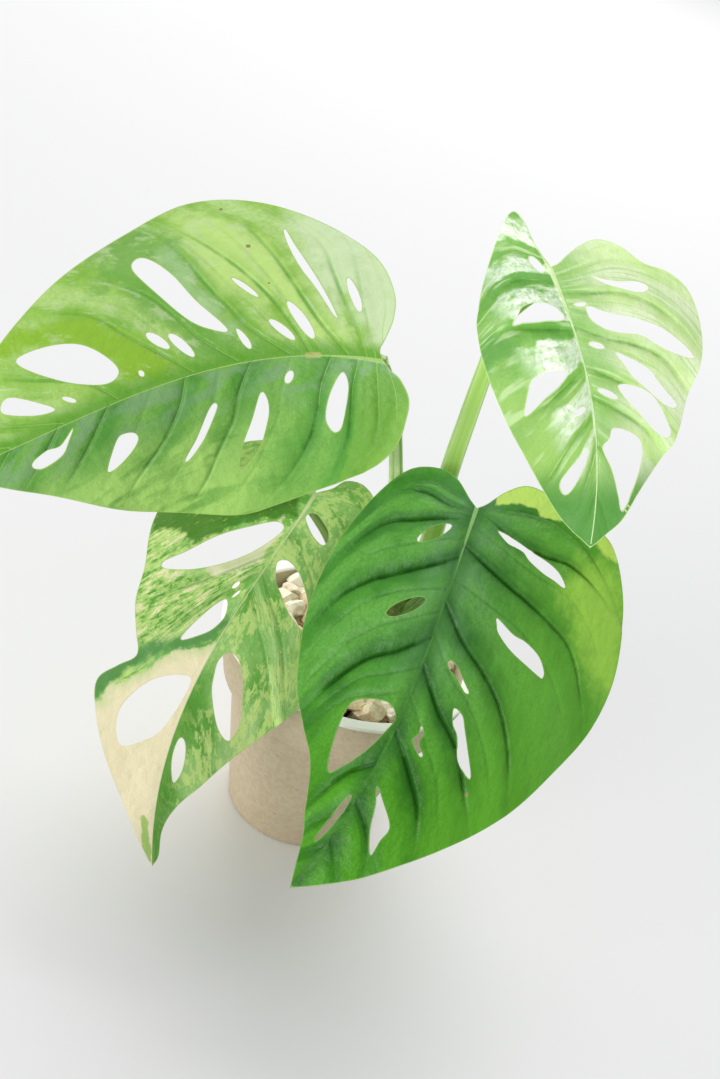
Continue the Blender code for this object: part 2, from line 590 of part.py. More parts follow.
def inner_points(leaf, loops):
    """Points along the veins and midway between them, clear of every edge."""
    length = leaf["length"]
    found = []
    for side, sign in (("veins_right", 1.0), ("veins_left", -1.0)):
        roots = np.array(leaf[side], float)
        rows = np.sort(np.concatenate([roots, (roots[1:] + roots[:-1]) / 2]))
        for j, root in enumerate(rows):
            first = RIB_HALF_WIDTH + MESH_STEP * (0.9 if j % 2 else 0.6)
            for distance in np.arange(first, 80.0, MESH_STEP):
                found.append((vein_line(leaf, root, distance), sign * distance))
        for station in np.arange(0.0, length - 8.0, MESH_STEP):
            found.append((station + 1.0, sign * RIB_HALF_WIDTH))
    found = np.array(found)
    keep = inside(found, loops[0])
    for loop in loops:
        keep &= loop_distance(found, loop) > EDGE_CLEAR
    for hole in loops[1:]:
        keep &= ~inside(found, hole)
    thinned = []
    for point in found[keep]:
        if all(math.hypot(*(point - other)) > 0.5 * MESH_STEP for other in thinned):
            thinned.append(point)
    return thinned


def make_leaf(leaf, collection, finish):
    """A thin blade with its holes: triangulated flat, then bent, then given its thickness."""
    loops = [outline_loop(leaf, EDGE_STEP)] + [hole_loop(hole, EDGE_STEP) for hole in leaf["holes"]]
    points, edges = [], []
    for loop in loops:
        first = len(points)
        points += [tuple(p) for p in loop]
        edges += [(first + i, first + (i + 1) % len(loop)) for i in range(len(loop))]
    rib_stations = np.arange(0.0, leaf["length"] - 6.0, MESH_STEP)
    edges += [(len(points) + i, len(points) + i + 1) for i in range(len(rib_stations) - 1)]
    points += [(station, 0.0) for station in rib_stations]
    points += [tuple(p) for p in inner_points(leaf, loops)]

    flat, _, faces, *_ = geometry.delaunay_2d_cdt([Vector(p) for p in points], edges, [], 1, 1e-4)
    flat = np.array([tuple(p) for p in flat])
    centres = np.array([flat[list(face)].mean(axis=0) for face in faces])
    solid = inside(centres, loops[0])
    for hole in loops[1:]:
        solid &= ~inside(centres, hole)
    faces = [tuple(face) for face, stays in zip(faces, solid) if stays]

    edge = loop_distance(flat, loops[0])
    surface = blade_surface(leaf, flat[:, 0], flat[:, 1], edge) * MM
    mesh = bpy.data.meshes.new(leaf["name"])
    mesh.from_pydata([tuple(p) for p in surface], [], faces)
    made = add_object(leaf["name"], mesh, collection, finish)

    rib = made.vertex_groups.new(name="rib")
    taper = 1.0 - np.clip(flat[:, 0] / leaf["length"], 0.0, 1.0)
    weights = taper * np.clip(1.0 - np.abs(flat[:, 1]) / (0.9 * RIB_HALF_WIDTH), 0.0, 1.0)
    for i, weight in enumerate(weights):
        rib.add([i], float(weight), "REPLACE")

    face_up(mesh, leaf)
    mesh.shade_smooth()
    thickness = made.modifiers.new("blade", "SOLIDIFY")
    thickness.thickness = RIB_THICKNESS
    thickness.offset = -1.0
    thickness.vertex_group = "rib"
    thickness.thickness_vertex_group = BLADE_THICKNESS / RIB_THICKNESS
    thickness.use_rim = True
    return made


def face_up(mesh, leaf):
    """Turn the sheet's faces so that all of them look out of the leaf's upper face."""
    _, _, _, up = rib_frame(leaf, np.array(leaf["length"] / 2))
    work = bmesh.new()
    work.from_mesh(mesh)
    loose = [vertex for vertex in work.verts if not vertex.link_faces]
    bmesh.ops.delete(work, geom=loose, context="VERTS")
    bmesh.ops.recalc_face_normals(work, faces=work.faces)
    total = sum((face.normal * face.calc_area() for face in work.faces), Vector())
    if total.dot(Vector(up)) < 0.0:
        bmesh.ops.reverse_faces(work, faces=work.faces)
    work.to_mesh(mesh)
    work.free()


clear_scene()
plant = new_collection("potted_monstera")
cutter_collection = new_collection("cutters")
cutter_collection.hide_render = True

make_pot(plant)
make_substrate(plant, cutter_collection)
make_stem(plant)
saddle = stem_clearance(cutter_collection)
for stalk in PETIOLES:
    make_petiole(stalk, plant, saddle)
greens = {"leaf_1": (0.20, 0.42, 0.05), "leaf_2": (0.30, 0.52, 0.10),
          "leaf_3": (0.04, 0.20, 0.02), "leaf_4": (0.26, 0.38, 0.08)}
for blade in LEAVES:
    make_leaf(blade, plant, material(blade["name"] + "_green", greens[blade["name"]], 0.4))
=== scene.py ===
import math
import random

import bmesh
import bpy
import numpy as np
from mathutils import Matrix, Vector, geometry, noise


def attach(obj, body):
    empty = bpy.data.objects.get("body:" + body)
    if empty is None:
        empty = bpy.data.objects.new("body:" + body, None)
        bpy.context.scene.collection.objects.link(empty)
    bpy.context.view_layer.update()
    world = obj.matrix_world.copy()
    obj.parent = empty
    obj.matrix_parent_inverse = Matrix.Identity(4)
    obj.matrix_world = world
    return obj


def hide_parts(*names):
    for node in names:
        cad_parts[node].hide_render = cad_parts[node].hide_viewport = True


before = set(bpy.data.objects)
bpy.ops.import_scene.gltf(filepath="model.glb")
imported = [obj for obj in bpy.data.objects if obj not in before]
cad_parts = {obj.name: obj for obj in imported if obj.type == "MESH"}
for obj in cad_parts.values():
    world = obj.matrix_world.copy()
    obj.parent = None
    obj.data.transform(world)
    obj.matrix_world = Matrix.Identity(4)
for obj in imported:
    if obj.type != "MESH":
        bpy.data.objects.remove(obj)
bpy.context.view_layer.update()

MM = 0.001


# ---- the view ----
# The plant stands upright and is looked down on from in front. The camera is turned a
# little about its own axis, so that the pot's axis leans to the right.
eye = Vector((-10.16, -433.31, 399.54)) * MM
look_down = math.radians(31.6)
lean = math.radians(19.68)
forward = Vector((0.0, math.cos(look_down), -math.sin(look_down)))
level = Vector((1.0, 0.0, 0.0))
below = forward.cross(level)
picture_right = math.cos(lean) * level - math.sin(lean) * below
picture_down = math.sin(lean) * level + math.cos(lean) * below
view = bpy.data.cameras.new("view")
view.lens = 45.0
view.sensor_width = 36.0
view.clip_start = 0.01
camera = bpy.data.objects.new("view", view)
bpy.context.scene.collection.objects.link(camera)
camera.matrix_world = Matrix.Translation(eye) @ Matrix(
    (picture_right, -picture_down, -forward)).transposed().to_4x4()
bpy.context.scene.camera = camera


# ---- the studio ----
# A pale floor runs out behind the plant, under an even white room. One wide soft panel
# hangs over it, and a window of light stands in front on the left.
def plug_in(tree, socket, value):
    """Link a socket to an input, or set the input to a value."""
    if isinstance(value, bpy.types.NodeSocket):
        tree.links.new(value, socket)
    else:
        socket.default_value = value


def node_of(tree, kind, settings=None, **inputs):
    """Add a shader node; inputs are named as on the node, with _ for a space."""
    made = tree.nodes.new(kind)
    for key, value in (settings or {}).items():
        setattr(made, key, value)
    for key, value in inputs.items():
        plug_in(tree, made.inputs[key.replace("_", " ")], value)
    return made


def new_finish(name, roughness, gloss=0.5):
    """A material with its node tree and its shader."""
    made = bpy.data.materials.new(name)
    made.use_nodes = True
    shader = made.node_tree.nodes["Principled BSDF"]
    shader.inputs["Roughness"].default_value = roughness
    shader.inputs["Specular IOR Level"].default_value = gloss
    return made, made.node_tree, shader


def own_place(tree):
    """Places on the piece itself, in metres."""
    return node_of(tree, "ShaderNodeTexCoord").outputs["Object"]


def part_of(tree, place, axis):
    """One coordinate of a place."""
    return node_of(tree, "ShaderNodeSeparateXYZ", Vector=place).outputs[axis]


def cloud(tree, place, scale, detail=3.0, rough=0.55, stretch=(1.0, 1.0, 1.0), shift=(0.0, 0.0, 0.0)):
    """A soft noise between 0 and 1 on a place socket, stretched along its axes."""
    spread = node_of(tree, "ShaderNodeMapping", Vector=place, Scale=stretch, Location=shift)
    made = node_of(tree, "ShaderNodeTexNoise", Vector=spread.outputs[0], Scale=scale, Detail=detail,
                   Roughness=rough)
    return made.outputs[0]


def fade(tree, value, low, high, start=0.0, end=1.0):
    """A smooth step from start at low to end at high."""
    made = node_of(tree, "ShaderNodeMapRange", {"interpolation_type": "SMOOTHSTEP"}, Value=value,
                   From_Min=low, From_Max=high, To_Min=start, To_Max=end)
    return made.outputs[0]


def maths(tree, operation, *values):
    """One arithmetic step on numbers or sockets."""
    made = node_of(tree, "ShaderNodeMath", {"operation": operation})
    for socket, value in zip(made.inputs, values):
        plug_in(tree, socket, value)
    return made.outputs[0]


def product(tree, first, *others):
    """Several shares multiplied together."""
    for other in others:
        first = maths(tree, "MULTIPLY", first, other)
    return first


def blend(tree, share, under, over):
    """Lay one colour over another by a share."""
    made = node_of(tree, "ShaderNodeMix", {"data_type": "RGBA"})
    plug_in(tree, made.inputs[0], share)
    for socket, colour in ((made.inputs[6], under), (made.inputs[7], over)):
        plug_in(tree, socket, (*colour, 1.0) if isinstance(colour, tuple) else colour)
    return made.outputs[2]


def tint(tree, tone, colour, value, low, high, share=1.0):
    """Lay a colour over a tone, up to a share, as a value goes from low to high."""
    return blend(tree, fade(tree, value, low, high, 0.0, share), tone, colour)


def paint(tree, shader, tone):
    """Give a shader its colour."""
    tree.links.new(tone, shader.inputs["Base Color"])


def relief(tree, shader, height, distance, strength=1.0):
    """Raise the surface by a height between 0 and 1, times a distance in metres."""
    bump = node_of(tree, "ShaderNodeBump", Strength=strength, Distance=distance, Height=height)
    tree.links.new(bump.outputs[0], shader.inputs["Normal"])


FLOOR_SIZE = 14.0
bpy.ops.object.select_all(action="DESELECT")
bpy.ops.mesh.primitive_plane_add(size=FLOOR_SIZE, location=(0.0, 0.0, 0.0))
floor = bpy.context.object
floor.name = "floor"
paper, tree, shader = new_finish("pale_floor", 0.85)
paint(tree, shader, blend(tree, cloud(tree, own_place(tree), 1.5), (0.88, 0.875, 0.875), (0.90, 0.90, 0.90)))
floor.data.materials.append(paper)

room = bpy.data.worlds.new("white_room")
room.use_nodes = True
room.node_tree.nodes["Background"].inputs["Color"].default_value = (0.97, 0.98, 1.0, 1.0)
room.node_tree.nodes["Background"].inputs["Strength"].default_value = 0.45
bpy.context.scene.world = room
bpy.context.scene.view_settings.view_transform = "Standard"


def light_panel(name, place, aim, width, height, power):
    """A rectangular soft light that faces a point."""
    lamp = bpy.data.lights.new(name, "AREA")
    lamp.shape = "RECTANGLE"
    lamp.size = width
    lamp.size_y = height
    lamp.energy = power
    made = bpy.data.objects.new(name, lamp)
    bpy.context.scene.collection.objects.link(made)
    made.location = place
    made.rotation_euler = (Vector(aim) - Vector(place)).to_track_quat("-Z", "Y").to_euler()
    return made


light_panel("overhead_panel", (0.0, 1.9, 2.2), aim=(0.0, 0.7, 0.0), width=3.0, height=3.0, power=60.0)
light_panel("window_panel", (-0.62, -0.88, 0.34), aim=(0.0, 0.0, 0.20), width=0.6, height=0.45, power=5.5)
# three cards stand where the young leaf's skin mirrors a window, and shine on that leaf alone
YOUNG_LEAF = (0.05, 0.0, 0.24)
glossy_pieces = bpy.data.collections.new("glossy_pieces")
for name, place, width, height, power in (("shine_card_front", (-0.10, -0.52, 0.16), 0.50, 0.26, 5.0),
                                          ("shine_card_left", (-0.72, -0.36, 0.26), 0.80, 0.60, 8.0),
                                          ("shine_card_right", (0.60, -0.50, 0.12), 0.34, 0.20, 1.8)):
    card = light_panel(name, place, YOUNG_LEAF, width, height, power)
    card.visible_diffuse = name == "shine_card_right"
    card.light_linking.receiver_collection = glossy_pieces
# a side light up on the left reaches the pot and its chips through the leaves
pot_pieces = bpy.data.collections.new("pot_pieces")
side_light = light_panel("pot_side_light", (-0.8, -0.12, 0.6), aim=(0.0, 0.0, 0.06), width=0.5, height=0.5,
                         power=4.3)
side_light.light_linking.receiver_collection = pot_pieces
side_light.light_linking.blocker_collection = pot_pieces


# ---- pot ----
# A small stoneware pot, slip-cast in one piece: a tapered body under a deep flared collar.
# It is left in a matte oatmeal glaze with fine iron specks; the top of the rim is painted near white, a
# painted highlight where the light falls on it.
RIM_RADIUS = 52.5 * MM
COLLAR_RADIUS = 46.0 * MM
NECK_RADIUS = 42.4 * MM
FOOT_RADIUS = 28.4 * MM
HOLLOW_RADIUS = 25.0 * MM
POT_HEIGHT = 88.0 * MM
COLLAR_FOOT = 64.0 * MM
WALL = 5.6 * MM
POT_FLOOR = 5.0 * MM
ROUNDING = 1.0 * MM
outer_profile = [(FOOT_RADIUS, 0.0), (NECK_RADIUS, COLLAR_FOOT), (COLLAR_RADIUS, COLLAR_FOOT),
                 (RIM_RADIUS, POT_HEIGHT)]
inner_profile = [(RIM_RADIUS - WALL, POT_HEIGHT), (COLLAR_RADIUS - WALL, COLLAR_FOOT + 3 * MM),
                 (NECK_RADIUS - WALL, COLLAR_FOOT - 2 * MM), (HOLLOW_RADIUS, POT_FLOOR)]


def pick_only(piece):
    """Select one piece alone and make it the active one."""
    bpy.ops.object.select_all(action="DESELECT")
    bpy.context.view_layer.objects.active = piece
    piece.select_set(True)


def close_ring():
    """Close the selected ring of edges with triangles that meet at its centre."""
    bpy.ops.mesh.extrude_edges_move(TRANSFORM_OT_translate={"value": (0.0, 0.0, 0.0)})
    bpy.ops.mesh.merge(type="CENTER")


def turned(name, profile, sides):
    """Draw up a closed body of revolution from a foot circle, one ring at a time."""
    bpy.ops.object.select_all(action="DESELECT")
    radius, height = profile[0]
    bpy.ops.mesh.primitive_circle_add(vertices=sides, radius=radius, fill_type="NOTHING",
                                      location=(0.0, 0.0, height))
    made = bpy.context.object
    made.name = name
    bpy.ops.object.transform_apply(location=True)
    bpy.ops.object.mode_set(mode="EDIT")
    bpy.ops.mesh.select_mode(type="EDGE")
    for new_radius, new_height in profile[1:]:
        bpy.ops.mesh.extrude_edges_move(TRANSFORM_OT_translate={"value": (0.0, 0.0, new_height - height)})
        share = new_radius / radius
        bpy.ops.transform.resize(value=(share, share, 1.0), center_override=(0.0, 0.0, new_height))
        radius, height = new_radius, new_height
    close_ring()
    bpy.ops.mesh.select_all(action="DESELECT")
    bpy.ops.mesh.select_non_manifold(extend=False)
    close_ring()
    bpy.ops.mesh.select_all(action="SELECT")
    bpy.ops.mesh.normals_make_consistent(inside=False)
    bpy.ops.object.mode_set(mode="OBJECT")
    return made


def finish_modifier(piece, modifier):
    """Apply a modifier to a piece for good."""
    pick_only(piece)
    bpy.ops.object.modifier_apply(modifier=modifier.name)


def round_edges(piece, width, segments, degrees):
    """Round the edges that are sharper than an angle."""
    rounding = piece.modifiers.new("round_edges", "BEVEL")
    rounding.width = width
    rounding.segments = segments
    rounding.limit_method = "ANGLE"
    rounding.angle_limit = math.radians(degrees)
    finish_modifier(piece, rounding)


def smooth_over(piece, degrees):
    """Shade a piece smooth, apart from edges sharper than an angle."""
    pick_only(piece)
    bpy.ops.object.shade_smooth_by_angle(angle=math.radians(degrees))


pot = turned("glazed_pot", outer_profile + inner_profile, 128)
round_edges(pot, ROUNDING, 4, 24.0)
smooth_over(pot, 35.0)

glaze, tree, shader = new_finish("oatmeal_glaze", 0.72)
position = own_place(tree)
tone = tint(tree, (0.455, 0.372, 0.238), (0.505, 0.418, 0.275), cloud(tree, position, 28.0, 4.0), 0.3, 0.7)
tone = tint(tree, tone, (0.60, 0.52, 0.38), cloud(tree, position, 420.0, 2.0), 0.42, 0.60, 0.3)
for scale, iron in ((620.0, (0.30, 0.23, 0.14)), (1000.0, (0.36, 0.29, 0.19))):
    tone = tint(tree, tone, iron, cloud(tree, position, scale, 0.0), 0.78, 0.82, 0.6)
height = part_of(tree, position, "Z")
# painted highlight: the top of the rim is painted near white, where the light falls on it
tone = tint(tree, tone, (0.93, 0.91, 0.86), height, POT_HEIGHT - 1.2 * MM, POT_HEIGHT - 0.5 * MM)
paint(tree, shader, tone)
relief(tree, shader, cloud(tree, position, 650.0, 3.0), 0.12 * MM, 0.6)
pot.data.materials.append(glaze)
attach(pot, "root")
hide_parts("pot")
pot_pieces.objects.link(pot)


# ---- soil ----
# Dark peaty soil fills the pot to just under the rim. It shows only as shadow between
# the chips, so its top is rough and nearly black.
SOIL_TOP = 80.0 * MM
SOIL_RADIUS = 46.5 * MM
CLEAR = 0.3 * MM
soil_profile = [(HOLLOW_RADIUS - CLEAR, POT_FLOOR + CLEAR),
                (NECK_RADIUS - WALL - CLEAR, COLLAR_FOOT - 2 * MM),
                (COLLAR_RADIUS - WALL - CLEAR, COLLAR_FOOT + 3 * MM),
                (SOIL_RADIUS - CLEAR, SOIL_TOP - 1.0 * MM)]
for share in (0.9, 0.75, 0.6, 0.45, 0.3, 0.15):
    soil_profile.append((COLLAR_RADIUS * share, SOIL_TOP))
soil = turned("soil", soil_profile, 72)
crumbs = random.Random(3)
for vertex in soil.data.vertices:
    if vertex.co.z > SOIL_TOP - 0.1 * MM:
        vertex.co.z += crumbs.uniform(-1.4, 0.6) * MM
smooth_over(soil, 40.0)
peat, tree, shader = new_finish("dark_soil", 0.95)
grain = cloud(tree, own_place(tree), 700.0, 5.0, 0.7)
paint(tree, shader, tint(tree, (0.035, 0.022, 0.013), (0.16, 0.11, 0.065), grain, 0.35, 0.7))
relief(tree, shader, grain, 1.0 * MM)
soil.data.materials.append(peat)
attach(soil, "root")
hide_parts("substrate")


# ---- chips ----
# The top dressing is broken pumice and pale bark in pieces of about a centimetre, with flat
# fresh breaks and edges worn round. The chips lie loose on the soil, at all angles.
BREAKS = 9
WORN_EDGE = 0.09
GOLDEN_TURN = math.pi * (3.0 - math.sqrt(5.0))
STEM_FOOT = Vector((8.0, 4.0)) * MM
STEM_ROOM = 3.6 * MM
# for each layer: how many chips, their least and largest size, their height and their reach
LAYERS = ((100, 3.8, 5.0, 80.4, 44.2), (118, 4.0, 6.0, 84.2, 45.6))
BUFF = (0.82, 0.66, 0.43)
STRAW = (0.93, 0.83, 0.65)
CHALK = (0.95, 0.89, 0.75)
BARK = (0.60, 0.41, 0.21)


def carry(mesh, key, values):
    """Give each point of a mesh a number or a vector, under a name that its finish reads."""
    kind, field = ("FLOAT_VECTOR", "vector") if values.ndim == 2 else ("FLOAT", "value")
    attribute = mesh.attributes.new(key, kind, "POINT")
    attribute.data.foreach_set(field, values.astype(np.float32).ravel())


def read(tree, name, output="Fac"):
    """A value that the piece's mesh carries."""
    return node_of(tree, "ShaderNodeAttribute", {"attribute_name": name}).outputs[output]


def broken_chip(seed):
    """One chip of about unit size: a ball cut to flats, with worn edges."""
    draw = random.Random(seed)
    bpy.ops.object.select_all(action="DESELECT")
    bpy.ops.mesh.primitive_ico_sphere_add(subdivisions=2, radius=1.25, location=(0.0, 0.0, 0.0))
    made = bpy.context.object
    bpy.ops.object.mode_set(mode="EDIT")
    for cut in range(BREAKS):
        around = cut * 2.4 + draw.uniform(-0.5, 0.5)
        rise = 1.0 - (cut + 0.5) * 2.0 / BREAKS + draw.uniform(-0.15, 0.15)
        rise = max(-1.0, min(1.0, rise))
        level_share = math.sqrt(1.0 - rise * rise)
        normal = Vector((level_share * math.cos(around), level_share * math.sin(around), rise))
        depth = draw.uniform(0.66, 0.92)
        bpy.ops.mesh.select_all(action="SELECT")
        bpy.ops.mesh.bisect(plane_co=normal * depth, plane_no=normal, use_fill=True, clear_outer=True)
    bpy.ops.mesh.select_all(action="SELECT")
    bpy.ops.mesh.dissolve_limited(angle_limit=math.radians(9.0))
    bpy.ops.object.mode_set(mode="OBJECT")
    round_edges(made, WORN_EDGE, 2, 15.0)
    return made


kinds = [broken_chip(seed) for seed in range(21, 27)]
draw = random.Random(11)
chips = []
for layer, (count, smallest, largest, rest_height, reach) in enumerate(LAYERS):
    for i in range(count):
        size = draw.uniform(smallest, largest) * MM
        distance = (reach * MM - 0.85 * size) * math.sqrt((i + 0.5) / count)
        angle = i * GOLDEN_TURN + layer * 1.3 + draw.uniform(-0.2, 0.2)
        centre = Vector((distance * math.cos(angle), distance * math.sin(angle)))
        if (centre - STEM_FOOT).length < size + STEM_ROOM:
            continue
        kind = kinds[draw.randrange(len(kinds))]
        chip = kind.copy()
        chip.data = kind.data.copy()
        bpy.context.scene.collection.objects.link(chip)
        chip.scale = (size, size * draw.uniform(0.68, 0.95), size * draw.uniform(0.5, 0.68))
        chip.rotation_euler = (draw.uniform(-0.5, 0.5), draw.uniform(-0.5, 0.5),
                               draw.uniform(0.0, math.tau))
        chip.location = (centre.x, centre.y, (rest_height + draw.uniform(-0.8, 0.8)) * MM)
        carry(chip.data, "tint", np.full(len(chip.data.vertices), draw.random()))
        chips.append(chip)
pick_only(chips[0])
for chip in chips:
    chip.select_set(True)
bpy.ops.object.transform_apply(location=True, rotation=True, scale=True)
bpy.ops.object.join()
dressing = bpy.context.object
dressing.name = "pumice_and_bark_chips"
for kind in kinds:
    bpy.data.objects.remove(kind, do_unlink=True)
smooth_over(dressing, 28.0)

pumice, tree, shader = new_finish("pumice_and_bark", 0.88)
position = own_place(tree)
own_tone = read(tree, "tint")
tone = tint(tree, BUFF, STRAW, own_tone, 0.10, 0.42)
tone = tint(tree, tone, CHALK, own_tone, 0.55, 0.80)
tone = tint(tree, tone, BARK, own_tone, 0.93, 0.96)
tone = tint(tree, tone, (0.46, 0.30, 0.15), cloud(tree, position, 160.0, 4.0, 0.6), 0.48, 0.66, 0.65)
pits = node_of(tree, "ShaderNodeTexVoronoi", Vector=position, Scale=1100.0)
pitted = fade(tree, pits.outputs["Distance"], 0.28, 0.10)
patchy = fade(tree, cloud(tree, position, 260.0), 0.45, 0.60)
paint(tree, shader, blend(tree, product(tree, pitted, patchy, 0.5), tone, (0.32, 0.21, 0.11)))
rough_skin = maths(tree, "SUBTRACT", cloud(tree, position, 900.0, 4.0, 0.6), product(tree, pitted, 0.5))
relief(tree, shader, rough_skin, 0.35 * MM)
dressing.data.materials.clear()
dressing.data.materials.append(pumice)
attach(dressing, "root")
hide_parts("substrate")
pot_pieces.objects.link(dressing)


# ---- stem ----
# One short green vine stem comes up out of the chips. It thickens at each node, where a
# leaf stalk leaves it, and carries a thin ring there. Sizes from here on are in mm.
STEM_ROUTE = [(8, 4, 52.5), (8, 4, 70), (8, 4, 84), (9.5, 4.4, 94), (12.5, 5.6, 107), (14.5, 7.6, 118)]
STEM_NODES = (90.0, 99.0, 107.0, 116.5)
STEM_RADIUS = 4.3
STEM_TOP = 118.6
RING_DROP = 1.4


def smooth_path(points, steps):
    """Points on a smooth curve through the given ones, with steps points to each span."""
    points = [Vector(p) for p in points]
    ends = [2 * points[0] - points[1], *points, 2 * points[-1] - points[-2]]
    path = []
    for a, b, c, d in zip(ends, ends[1:], ends[2:], ends[3:]):
        for i in range(steps):
            u = i / steps
            path.append(0.5 * (2 * b + (c - a) * u + (2 * a - 5 * b + 4 * c - d) * u**2
                               + (3 * b - a - 3 * c + d) * u**3))
    return path + [points[-1]]


def stalk(name, path, radii, groove_side, groove, wings, sides=40):
    """A closed stalk along a path. Its groove faces groove_side, with a wing on each lip."""
    turn = np.arange(sides) * math.tau / sides
    off_groove = np.abs((turn + math.pi) % math.tau - math.pi)
    rings, marks, run = [], [], 0.0
    for i, place in enumerate(path):
        ahead = (path[min(i + 1, len(path) - 1)] - path[max(i - 1, 0)]).normalized()
        if i:
            run += (place - path[i - 1]).length
        side = (groove_side - ahead * groove_side.dot(ahead)).normalized()
        other = ahead.cross(side)
        share = i / (len(path) - 1)
        cut = 1.0 - groove * np.exp(-(off_groove / 0.55)**2)
        lip = np.interp(share, *wings) * np.exp(-((off_groove - 0.75) / 0.16)**2)
        for angle, out in zip(turn, radii[i] * cut + lip):
            rings.append((place + (side * math.cos(angle) + other * math.sin(angle)) * out) * MM)
            marks.append((angle / math.tau, run, share))
    faces = []
    for i in range(len(path) - 1):
        for k in range(sides):
            a, b = i * sides + k, i * sides + (k + 1) % sides
            faces.append((a, b, b + sides, a + sides))
    for first, place in ((0, path[0]), (len(rings) - sides, path[-1])):
        pole = len(rings)
        rings.append(place * MM)
        marks.append((0.0, marks[first][1], marks[first][2]))
        for k in range(sides):
            pair = (first + k, first + (k + 1) % sides)
            faces.append((*pair, pole) if first else (*reversed(pair), pole))
    mesh = bpy.data.meshes.new(name)
    mesh.from_pydata(rings, [], faces)
    carry(mesh, "round_and_run", np.array(marks))
    made = bpy.data.objects.new(name, mesh)
    bpy.context.scene.collection.objects.link(made)
    work = bmesh.new()
    work.from_mesh(mesh)
    bmesh.ops.recalc_face_normals(work, faces=work.faces)
    work.to_mesh(mesh)
    work.free()
    smooth_over(made, 50.0)
    return made


stem_path = smooth_path(STEM_ROUTE, 22)
stem_radii = []
for place in stem_path:
    swell = sum(math.exp(-((place.z - node) / 2.2)**2) for node in STEM_NODES)
    ring = sum(math.exp(-((place.z - node + RING_DROP) / 0.35)**2) for node in STEM_NODES)
    rounding = min(1.0, math.sqrt(max(0.02, (STEM_TOP - place.z) / 2.4)))
    stem_radii.append((STEM_RADIUS * (1.0 + 0.22 * min(swell, 1.0)) + 0.28 * ring) * rounding)
stem = stalk("vine_stem", stem_path, stem_radii, Vector((0.0, -1.0, 0.2)), 0.04, ((0.0, 1.0), (0.0, 0.0)), 48)
green, tree, shader = new_finish("green_stem_skin", 0.52)
streaks = cloud(tree, read(tree, "round_and_run", "Vector"), 1.0, 4.0, 0.6, (26.0, 0.35, 1.0))
tone = tint(tree, (0.10, 0.17, 0.03), (0.22, 0.32, 0.07), streaks, 0.35, 0.65)
position = own_place(tree)
height = part_of(tree, position, "Z")
for node in STEM_NODES:
    away = maths(tree, "ABSOLUTE", maths(tree, "SUBTRACT", height, (node - RING_DROP) * MM))
    tone = tint(tree, tone, (0.20, 0.15, 0.06), away, 0.9 * MM, 0.3 * MM, 0.8)
tone = tint(tree, tone, (0.33, 0.26, 0.13), cloud(tree, position, 300.0, 4.0), 0.60, 0.72, 0.6)
paint(tree, shader, tone)
relief(tree, shader, streaks, 0.25 * MM)
stem.data.materials.append(green)
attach(stem, "root")
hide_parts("stem")


# ---- leaf stalks ----
# Each leaf hangs on one fleshy stalk. It clasps the stem with two thin wings along its
# groove, and at its top it bends over and runs on into the back of the midrib.
GROOVE = 0.16
# shares of the stalk's length, and how far its two wings stand out there
WINGS = ((0.02, 0.3, 0.6, 0.75), (0.9, 0.6, 0.3, 0.0))
# the bend at the top: how far each point lies behind the blade and along its midrib
BEND_OVER = ((9.0, 0.2), (5.8, 0.7), (3.5, 1.7), (2.5, 4.0), (2.2, 7.5), (2.2, 12.0))
STEM_MIDDLE = Vector((12.0, 5.0, 120.0))


def stalk_finish(name, dark, pale, wing, top, stripe_low, stripe_high):
    """Ribbed green skin with pale stripes along the stalk, paper-pale lips and an even top."""
    made, tree, shader = new_finish(name, 0.38)
    mark = read(tree, "round_and_run", "Vector")
    around = part_of(tree, mark, "X")
    share = part_of(tree, mark, "Z")
    stripes = cloud(tree, mark, 1.0, 2.0, 0.5, (9.0, 0.012, 0.0))
    fibres = cloud(tree, mark, 1.0, 3.0, 0.6, (44.0, 0.05, 0.0))
    tone = tint(tree, dark, pale, stripes, stripe_low, stripe_high)
    tone = tint(tree, tone, wing, fibres, 0.3, 0.7, 0.3)
    off_groove = maths(tree, "SUBTRACT", maths(tree, "FRACT", maths(tree, "ADD", around, 0.5)), 0.5)
    off_lip = maths(tree, "SUBTRACT", maths(tree, "ABSOLUTE", off_groove), 0.12)
    on_lip = fade(tree, maths(tree, "ABSOLUTE", off_lip), 0.03, 0.008)
    tone = blend(tree, product(tree, on_lip, fade(tree, share, 0.8, 0.5)), tone, wing)
    tone = tint(tree, tone, top, share, 0.76, 0.86, 0.9)
    tone = tint(tree, tone, wing, cloud(tree, own_place(tree), 500.0, 2.0), 0.66, 0.76, 0.3)
    paint(tree, shader, tone)
    relief(tree, shader, fibres, 0.12 * MM)
    return made


